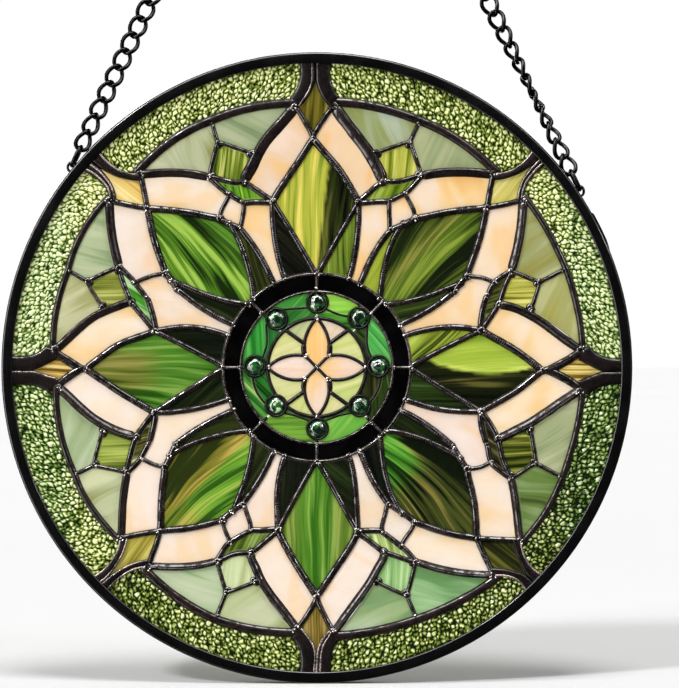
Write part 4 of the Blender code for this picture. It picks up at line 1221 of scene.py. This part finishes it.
def lead_paths():
    """The plain leads of the net: (points, width, height, ribs)."""
    found = []
    for sector in range(8):
        leads = [*WEDGE_LEADS, *(lead for sectors, lead in SECTOR_LEADS if sector in sectors)]
        found += [(in_sector(eased(points, shift), sector), *size) for (points, _), shift, *size in leads]
    return found


def broad_leads():
    """The broad leads: the circle round the rosette, finer at the sides, and the two over each arch and band:
    (points, width, height, lean)."""
    found = []
    for sector in range(8):
        radius, width = BORDER_LEADS[sector in SIDE_SECTORS]
        found.append((in_sector(arc(radius, 3.2, 41.4, 24), sector), width, 1.25, 0.0))
        outer = 1 if sector % 2 else -1
        for points, shift, widths in THICK_LEADS:
            found.append((in_sector(eased(points, shift), sector), widths[sector], 1.3, 0.45 * outer))
    return found


def make_leads(finish):
    clay = Clay()
    for seed, (points, width, height, ribs) in enumerate(lead_paths(), 300):
        add_bead(clay, points, width, height, seed=seed, ribs=ribs)
    lead_piece(clay, "lead_front", finish)


def make_broad_leads(finish):
    """The broad leads, and slender piping along the outer side of those over arches and bands."""
    clay = Clay()
    for seed, (points, width, height, lean) in enumerate(broad_leads(), 480):
        add_bead(clay, points, width, height, seed=seed, lean=lean, side=13, ribs=0.15)
    for sector in range(8):
        for points, shift, widths in THICK_LEADS:
            points = in_sector(eased(points, shift - 0.26 * widths[sector]), sector)
            add_bead(clay, points, 0.7, 0.55, PIPING_BASE, seed=510 + sector, side=7, ribs=0.6)
    lead_piece(clay, "broad_leads", finish)


def spoke(inner, outer, degrees):
    return np.array([on_circle(inner, degrees), on_circle(outer, degrees)])


def make_flower_leads(finish):
    """Thin dull leads of the inner flower, the gems' collars and the seams of the green ring."""
    clay = Clay()
    for sector in range(8):
        add_bead(clay, in_sector(PETAL_SIDE[0], sector), 1.15, 0.8, seed=270 + sector)
        add_bead(clay, in_sector(seam_line(sector, 4, 41), sector), 0.85, 0.5, side=7)
        if sector in SPLIT_SECTORS:
            add_bead(clay, in_sector(SPLIT[0], sector), 1.4, 0.85, seed=280 + sector)
            stem = bowed(PETAL_CORNER, SPLIT_START, -0.3)
            add_bead(clay, in_sector(stem, sector), 1.8, 0.85, seed=284 + sector)
    for quarter in range(4):
        add_bead(clay, in_sector(np.array([PETAL_CORNER, (0.0, 0.0)]), 2 * quarter), 1.1, 0.8)
        for angle in (0, 45):
            add_bead(clay, in_sector(spoke(22.2, RING_INNER, angle), 2 * quarter), 1.1, 0.9)
    add_bead(clay, arc(FLOWER_CIRCLE, 0, 360, 180), 1.3, 0.9, seed=290, closed=True)
    for seed, middle in enumerate(GEM_MIDDLES, 291):
        add_bead(clay, arc(GEM_COLLAR, 0, 360, 48) + middle, 1.0, 1.1, seed=seed, closed=True, pitch=0.4)
    lead_piece(clay, "flower_leads", finish)


def make_ring_leads(finish):
    """The two leads of the black ring and the joints across it, in a lighter lead whose colour stands in for
    the highlight lines along them: painted highlight.
    """
    clay = Clay()
    for radius in (RING_OUTER, RING_INNER - 0.7):
        add_bead(clay, arc(radius, 0, 360, 180), 1.1, 1.05, seed=289, closed=True, ribs=0.3)
    for angle in range(0, 360, 45):
        add_bead(clay, spoke(RING_INNER, RING_OUTER, angle), 1.2, 1.1, seed=angle)
    lead_piece(clay, "ring_leads", finish)


def make_rear_leads(finish):
    """The same net behind the glass, lower and without its solder."""
    clay = Clay()
    for seed, (points, width, height, _) in enumerate(lead_paths(), 500):
        add_bead(clay, points, width, height * 0.85, REAR, seed=seed, pitch=1.3, side=7)
    for points, width, *_ in broad_leads():
        add_bead(clay, points, width, 1.1, REAR, pitch=1.3)
    for radius in (RING_OUTER, RING_INNER, FLOWER_CIRCLE):
        add_bead(clay, arc(radius, 0, 360, 120), FINE_LEAD, 1.0, REAR, closed=True, pitch=1.3, side=7)
    for sector in range(8):
        for points, _ in (PETAL_SIDE, SPLIT)[:2 if sector in SPLIT_SECTORS else 1]:
            add_bead(clay, in_sector(points, sector), 1.2, 0.8, REAR, side=7)
    for middle in GEM_MIDDLES:
        add_bead(clay, arc(GEM_COLLAR + 0.05, 0, 360, 48) + middle, 1.0, 0.9, REAR, closed=True, side=7)
    add_horns(clay, REAR, 22, 8)
    lead_piece(clay, "lead_back", finish)


def horn_rails(sector):
    """The two half horns of a wedge, each between the edge of the border glass and the axis with the kite's
    side. Those beside the right and the left kite cover more of it."""
    kite = bowed((0.0, 91.0), (3.3, 83.6)) if sector in SIDE_SECTORS else KITE_UPPER[0]
    under_rim = 97.2
    upright = np.vstack([on_circle(under_rim, 2.4), bowed(BORDER_START, HORN_FOOT, -1.3, 20), SHOULDER])
    axis = np.vstack([(0.0, under_rim), kite])
    far = np.vstack([on_circle(under_rim, 43.1), bowed(BORDER_END, BORDER_END_FOOT, 1.6, 20), FAR_SHOULDER])
    diagonal = np.vstack([on_circle(under_rim, 45), FAR_KITE_UPPER[0][::-1]])
    return (upright, axis), (far, diagonal)


def add_horns(clay, base, rows, columns):
    """Each half horn is a flat pillow: the height across it is (1 - |2v - 1|^3)^0.5 over a low wall, and leans
    up to the side beside the kite."""
    u, v = np.linspace(0, 1, rows), np.linspace(0, 1, columns)
    body = 0.35 + (0.85 + 0.25 * v) * (1 - np.abs(2 * v - 1) ** 3) ** 0.5
    for sector in range(8):
        for edge, axis in horn_rails(sector):
            rail = along(edge, u)[:, None] * (1 - v)[:, None] + along(axis, u)[:, None] * v[:, None]
            plane = in_sector(rail, sector)
            top = in_space(plane, base + math.copysign(1, base) * body)
            clay.slab(top, in_space(plane, base), ribs=np.zeros(3))


# Solder fills the corners of each tile, this far in from them, so its glass shows rounded
TILE_CORNERS = np.array([TILE_CORNER, TILE_FAR, TILE_FOOT, ARCH_FOOT])
TILE_FILLS = TILE_CORNERS + 0.13 * (TILE_CORNERS.mean(0) - TILE_CORNERS)
# (junction, radius, height, nodules) in the wedge
JOINTS = tuple((tuple(fill), 1.2, 0.95, 0) for fill in TILE_FILLS) + (
    (SHOULDER, 1.7, 1.4, 3), (APEX, 1.3, 1.4, 2), (VALLEY, 1.6, 1.45, 4), (ARCH_FOOT, 1.45, 1.4, 2),
    (TILE_CORNER, 1.25, 1.3, 2), (TILE_FAR, 1.15, 1.2, 1), (TILE_FOOT, 1.4, 1.4, 3), (LEG_TOP, 0.95, 1.25, 1),
    (QUAD_TOP, 1.1, 1.3, 2), (QUAD_FOOT, 1.15, 1.35, 1), (LEAF_SHOULDER, 1.45, 1.4, 4),
    (LEAF_TIP, 1.5, 1.4, 2), (SLIVER_HEAD, 1.2, 1.35, 3), (FAR_SHOULDER, 1.7, 1.4, 3),
    (DIVIDER_TOP, 0.9, 1.25, 1), (SLIVER_FOOT, 0.95, 1.25, 2), (LEG_FOOT, 1.0, 1.25, 2),
    (FAR_LEAF_FOOT, 1.1, 1.25, 2), (PETAL_CORNER, 0.9, 1.1, 3), ((0.0, RING_OUTER), 1.0, 1.3, 2),
    ((0.0, RING_INNER), 0.8, 1.25, 2), (on_circle(RING_INNER, 45), 0.8, 1.25, 2),
    (on_circle(RING_OUTER, 45), 1.0, 1.3, 2), ((0.0, FLOWER_CIRCLE), 0.8, 1.15, 2),
)


def make_joints(finish, bright):
    """A low dome of solder on each junction, and a few silvery nodules on it, made near white so that they
    also stand in for glints: partly painted highlight.
    """
    clay, spots = Clay(), Clay()
    random = np.random.default_rng(SEED + 7)
    for sector in range(8):
        for point, radius, height, nodules in JOINTS:
            if sector % 2 and (abs(point[0]) < 1e-6 or abs(point[0] - point[1]) < 1e-6):
                continue
            middle = in_sector(np.array(point, float)[None], sector)[0]
            add_blob(clay, middle, radius * random.uniform(0.92, 1.08), height, random.integers(1, 9999))
            for _ in range(nodules):
                spot = middle + random.uniform(-0.55, 0.55, 2) * radius * 1.2
                add_blob(spots, spot, random.uniform(0.36, 0.6), height + random.uniform(0.05, 0.25),
                         random.integers(1, 9999), steps=8)
    add_blob(clay, np.zeros(2), 0.8, 1.1, 5)
    for k in range(3):
        add_blob(spots, random.uniform(-0.6, 0.6, 2), 0.3, 1.3, 6 + k, steps=8)
    lead_piece(clay, "solder_joints", finish)
    lead_piece(spots, "solder_nodules", bright)


def add_blob(clay, middle, radius, height, seed, steps=14):
    """A low dome of solder: a quarter of a superellipse turned about its middle, a little lumpy."""
    rise = np.linspace(0, np.pi / 2, 6)[:-1]
    dome = [(radius * math.cos(a) ** 0.75, FRONT - height * math.sin(a) ** 0.9) for a in rise]
    add_turned(clay, middle, [(0.0, FRONT), *dome, (0.0, FRONT - height)], steps, lumps=0.06, seed=int(seed))


# Where slender piping runs along a horn: sector, 0 on its upright or level half or 1 on its diagonal one,
# share of the way from the border glass to the axis
HORN_PIPING = (
    (7, 0, 0.8), (5, 0, 0.9), (6, 0, 0.15), (3, 0, 0.72), (3, 0, 0.95), (4, 0, 0.9),
    (0, 1, 0.12), (1, 1, 0.35), (1, 1, 0.8), (2, 1, 0.1), (3, 1, 0.1), (4, 1, 0.1),
    (4, 1, 0.85), (5, 1, 0.1), (5, 1, 0.85), (6, 1, 0.3), (6, 1, 0.75), (7, 1, 0.15),
)


def make_horns(finish, wear_and_sheen):
    # The piping's light finish stands in for highlight lines along the horns: painted highlight
    clay, piping = Clay(), Clay()
    add_horns(clay, FRONT, 44, 22)
    u = np.linspace(0.03, 0.96, 40)
    for seed, (sector, half, share) in enumerate(HORN_PIPING, 530):
        edge, axis = horn_rails(sector)[half]
        rail = along(edge, u) * (1 - share) + along(axis, u) * share
        add_bead(piping, in_sector(rail, sector), 0.7, 0.5, PIPING_BASE, seed=seed, side=7, ribs=0.2)
    lead_piece(clay, "horn_leads", finish)
    lead_piece(piping, "horn_piping", wear_and_sheen)


# ---------------------------------------------------------------- rim, chains and ring

def make_rim(finish):
    """A rounded strip turned round the disc, a thinner lap over its joint, and a wire eye for each chain."""
    steps = 288
    corner = np.radians(np.linspace(0, 90, 6))
    profile = [
        (edge + turn * (1 - math.sin(a)), abs(turn) * (1 - math.cos(a)) - RIM_HALF)
        for edge, turn, angles in ((RIM_INSIDE, 0.5, corner[::-1]), (DISC, -0.9, corner)) for a in angles
    ]
    rings = turned((0.0, 0.0), profile + [(r, -d) for r, d in profile[::-1]], steps)
    clay = Clay()
    clay.add(rings, grid_faces(len(rings), steps, close_rows=True, close_columns=True))
    add_lap(clay)
    for angle in EYES.values():
        add_eye(clay, angle)
    clay.piece("rim_strip", finish, "black_painted_rim", ["rim"])


def add_lap(clay):
    """The strip's free end lies over its start: a thin curved plate whose far end runs out to nothing."""
    start, span, width, thick, sunk = 60.5, 7.5, 5.4, 0.5, 0.25  # the first two in degrees from the top
    u, v = np.linspace(0, 1, 24), np.linspace(0, 1, 9)
    proud = thick * step(u, 0.0, 0.06) * (1 - 0.55 * step(u, 0.75, 1.0))
    depth = width * (v - 0.5)
    outer = DISC - sunk + (sunk + proud)[:, None] * (1 - np.abs(2 * v - 1) ** 8)
    inner = np.full_like(outer, DISC - 0.8)
    ahead = on_circle(1.0, start + span * u)[:, None]
    clay.slab(*(in_space(ahead * radius[..., None], depth) for radius in (outer, inner)))


def add_tube(clay, path, radius, sides=10, closed=True):
    """A round wire along points in space."""
    ahead = np.roll(path, -1, 0) - np.roll(path, 1, 0) if closed else np.gradient(path, axis=0)
    ahead = ahead / np.linalg.norm(ahead, axis=-1)[:, None]
    out = path - path.mean(0)
    out = out - ahead * (out * ahead).sum(-1)[:, None]
    out /= np.linalg.norm(out, axis=-1)[:, None]
    aside = np.cross(ahead, out)
    angle = np.linspace(0, 2 * np.pi, sides, endpoint=False)[None, :, None]
    radius = np.broadcast_to(radius, len(path))[:, None, None]
    points = path[:, None] + radius * (np.cos(angle) * out[:, None] + np.sin(angle) * aside[:, None])
    clay.add(points, grid_faces(len(path), sides, close_rows=closed, close_columns=True))


def add_eye(clay, angle):
    """A turn of wire whose ends run into the rim and close there."""
    bend, wire = 1.7, 0.5
    turns = on_circle(bend, angle + np.linspace(-140, 140, 29)) + on_circle(DISC + 0.25, angle)
    radius = np.full(len(turns), wire)
    radius[[0, -1]] = 0.0
    add_tube(clay, in_space(turns, 0.0), radius, closed=False)


LINK_WIRE = 0.7
LINK_HALF_WIDTH = 2.45
LINK_PITCH = 5.65
LINK_OVERLAP = 0.55  # how much longer half a link is than half the pitch
LINK_HOLD = 0.75  # between the crowns of two linked links
FIRST_CROWN = 0.35  # from the seat of the chain in its eye
LAST_CROWN = 5.08  # short of the middle of the hanging ring
CURB_TWIST = math.radians(45)


def add_link(clay, centre, ahead, aside, half_length, turn, twist):
    """A curb link: an oval whose side axis leans one way at one end and the other way at the other end, by
    the twist times the cosine of the place round it."""
    depth = np.array([0.0, 1.0, 0.0])
    angle = np.linspace(0, 2 * np.pi, 36, endpoint=False)
    reach = np.cos(angle)
    lean = turn + twist * reach
    side = np.cos(lean)[:, None] * aside + np.sin(lean)[:, None] * depth
    width = LINK_HALF_WIDTH * np.sign(np.sin(angle)) * np.abs(np.sin(angle)) ** 0.85
    path = centre + ahead * (half_length * reach)[:, None] + side * width[:, None]
    add_tube(clay, path, LINK_WIRE, sides=9)


def link_turn(side, k):
    """How far a link is turned about its chain: the left chain's turn dies away, the right one's grows."""
    return math.radians(max(0, 42 - 6 * (k - 1)) if side == "left" else min(180, 28 + 13 * (k - 1)))


def make_chain(side, finish):
    """Curb links from the eye on the rim up to the hanging ring; the end links are plain and edge-on."""
    seat = in_space(on_circle(DISC + 0.75, EYES[side]), 0.0)
    span = ring_middle() - seat
    length = np.linalg.norm(span)
    ahead = span / length
    aside = np.array([ahead[2], 0.0, -ahead[0]])
    run = length - LAST_CROWN - FIRST_CROWN - LINK_HOLD
    count = round(run / LINK_PITCH)
    pitch = run / count
    clay = Clay()
    for k in range(count):
        centre = seat + ahead * (FIRST_CROWN + (pitch + LINK_HOLD) / 2 + k * pitch)
        turn, twist = (math.pi / 2, 0.0) if k in (0, count - 1) else (link_turn(side, k), CURB_TWIST)
        add_link(clay, centre, ahead, aside, pitch / 2 + LINK_OVERLAP, turn, twist)
    clay.piece("chain_" + side + "_links", finish, "black_chain", ["chain_" + side])


def ring_middle():
    """Middle of the hanging ring, from its own box."""
    low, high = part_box("hanging_ring")
    return (np.array((low + high) / 2) - MIDDLE) / MM


def make_hanging_ring(finish):
    bend, wire = 7.0, 1.0
    clay = Clay()
    add_tube(clay, in_space(arc(bend, 0, 360, 48)[:-1], 0.0) + ring_middle(), wire, sides=14)
    clay.piece("hanging_ring_wire", finish, "black_chain", ["hanging_ring"])


# ---------------------------------------------------------------- stage

def make_stage():
    """A wide white floor just under the disc."""
    floor = bpy.data.meshes.new("floor")
    low, reach = CAD_BOX[0].z - 0.0001, 12.0
    corners = [(x * reach, y * reach, low) for x, y in ((-1, -1), (1, -1), (1, 1), (-1, 1))]
    floor.from_pydata(corners, [], [(0, 1, 2, 3)])
    made = bpy.data.objects.new("floor", floor)
    bpy.context.scene.collection.objects.link(made)
    paint = Finish("floor_paper", **principled(0.9, specular=0.0))
    paper = paint.node("TexNoise", None, {"Vector": paint.place(), "Scale": 0.002, "Detail": 1.0})
    floor.materials.append(paint.finished(colour=paint.mix(paper, (0.90, 0.90, 0.90), (0.94, 0.94, 0.94))))
    made.visible_glossy = False  # the dark leads and the black rim mirror a dark room


GLOSS_RINGS = (0.42, 0.66), (-0.95, -0.82)
RING_STRENGTH = 16.0
ROOM_STRENGTH = 0.04
FILL_STRENGTH = 0.35  # of the even light that falls on the object

# (lamp, strength, spread, height above level, turn from the front: positive is from the right), in degrees
LAMPS = (("key", 1.4, 8, 38, -38), ("side", 0.25, 5, 20, 55), ("top", 1.3, 20, 70, 10))


def ring_light(world):
    """What shines in gloss: a dim room with a bright ring before the disc and one behind it, brightest at the
    upper left. Each ring covers the directions whose part towards the front is between its two cosines."""
    toward = world.node("TexCoord", output="Generated")
    forward, side = (
        world.node("VectorMath", {"operation": "DOT_PRODUCT"}, {0: toward, 1: axis}, output="Value")
        for axis in ((0.0, -1.0, 0.0), (-0.62, 0.0, 0.78))
    )
    rings = sum(
        forward.math("GREATER_THAN", low) * forward.math("LESS_THAN", high) for low, high in GLOSS_RINGS
    )
    bright = (side * 0.62 + 0.42).math("MAXIMUM", 0.0).math("POWER", 1.5) * RING_STRENGTH
    return rings * bright + ROOM_STRENGTH


def make_lights():
    """A white world for the eye, an even dimmer one as fill, the two rings for gloss, and three lamps."""
    studio = bpy.data.worlds.new("studio")
    bpy.context.scene.world = studio
    world = Nodes(studio)
    white, fill, rings = (
        world.node("Background", None, {"Color": (1, 1, 1), "Strength": strength})
        for strength in (1.0, FILL_STRENGTH, ring_light(world))
    )
    for ray, shown in (("Is Glossy Ray", rings), ("Is Camera Ray", white)):
        seen = world.node("LightPath", output=ray)
        fill = world.node("MixShader", None, {0: seen, 1: fill, 2: shown})
    world.put(world.tree.nodes["World Output"], {"Surface": fill})
    for name, energy, spread, height, turn in LAMPS:
        sun = bpy.data.lights.new(name, "SUN")
        sun.energy, sun.angle = energy, math.radians(spread)
        lamp = bpy.data.objects.new(name, sun)
        lamp.rotation_euler = (math.radians(90 - height), 0, math.radians(turn))
        bpy.context.scene.collection.objects.link(lamp)


def make_camera():
    """A level camera well before the disc: frame is what it sees across the longer side, in millimetres."""
    away, frame, right, up = 900, 218.55, 7.2, 7.47
    camera = bpy.data.cameras.new("camera")
    camera.sensor_fit, camera.sensor_width, camera.sensor_height = "AUTO", 36, 36
    camera.lens = 36 * away / frame
    seen = bpy.data.objects.new("camera", camera)
    seen.location = (MIDDLE[0] + right * MM, MIDDLE[1] - away * MM, MIDDLE[2] + up * MM)
    seen.rotation_euler = (math.pi / 2, 0, 0)
    bpy.context.scene.collection.objects.link(seen)
    bpy.context.scene.camera = seen
    bpy.context.scene.view_settings.view_transform = "Standard"


def main():
    make_camera()
    make_lights()
    make_stage()
    make_creams()
    make_leaves()
    make_grounds()
    make_kites()
    make_border()
    make_green_ring()
    make_black_ring()
    make_flower()
    make_gems()
    lead = lead_finish("dark_patinated_lead", "211817", "0c0807", 0.34)
    # A lighter lead for the ring leads: its colour stands in for their highlight lines, painted highlight
    wear_and_sheen = lead_finish("ring_lead_painted_sheen", "4a403d", "161010", 0.26, "80766f", metallic=0.6)
    # Silvery solder, made near white so the nodules also stand in for glints: partly painted highlight
    solder = lead_finish("solder_painted_glint", "d8d0ca", "857b74", 0.22, "f0eae4", metallic=0.8)
    make_leads(lead)
    make_broad_leads(lead_finish("broad_lead", "241a18", "0e0807", 0.38, coat=0.5))
    make_flower_leads(lead_finish("dull_lead", "120c0b", "060403", 0.42, "241c1a", coat=0.15))
    make_ring_leads(wear_and_sheen)
    make_rear_leads(lead)
    # The horn piping is a light lead whose colour stands in for highlight lines: painted highlight
    make_horns(lead_finish("horn_lead", "1c1413", "0a0606", 0.4, "2c2220", coat=0.3),
               lead_finish("piping_painted_highlight", "a8988f", "3a302d", 0.24, "d0c4bc", metallic=0.6))
    make_joints(lead, solder)
    make_rim(black_paint("black_painted_rim", 0.4, 0.02, coat=1.0))
    chain = black_paint("black_chain", 0.25, 0.01, specular=0.2)
    make_chain("left", chain)
    make_chain("right", chain)
    make_hanging_ring(chain)


main()
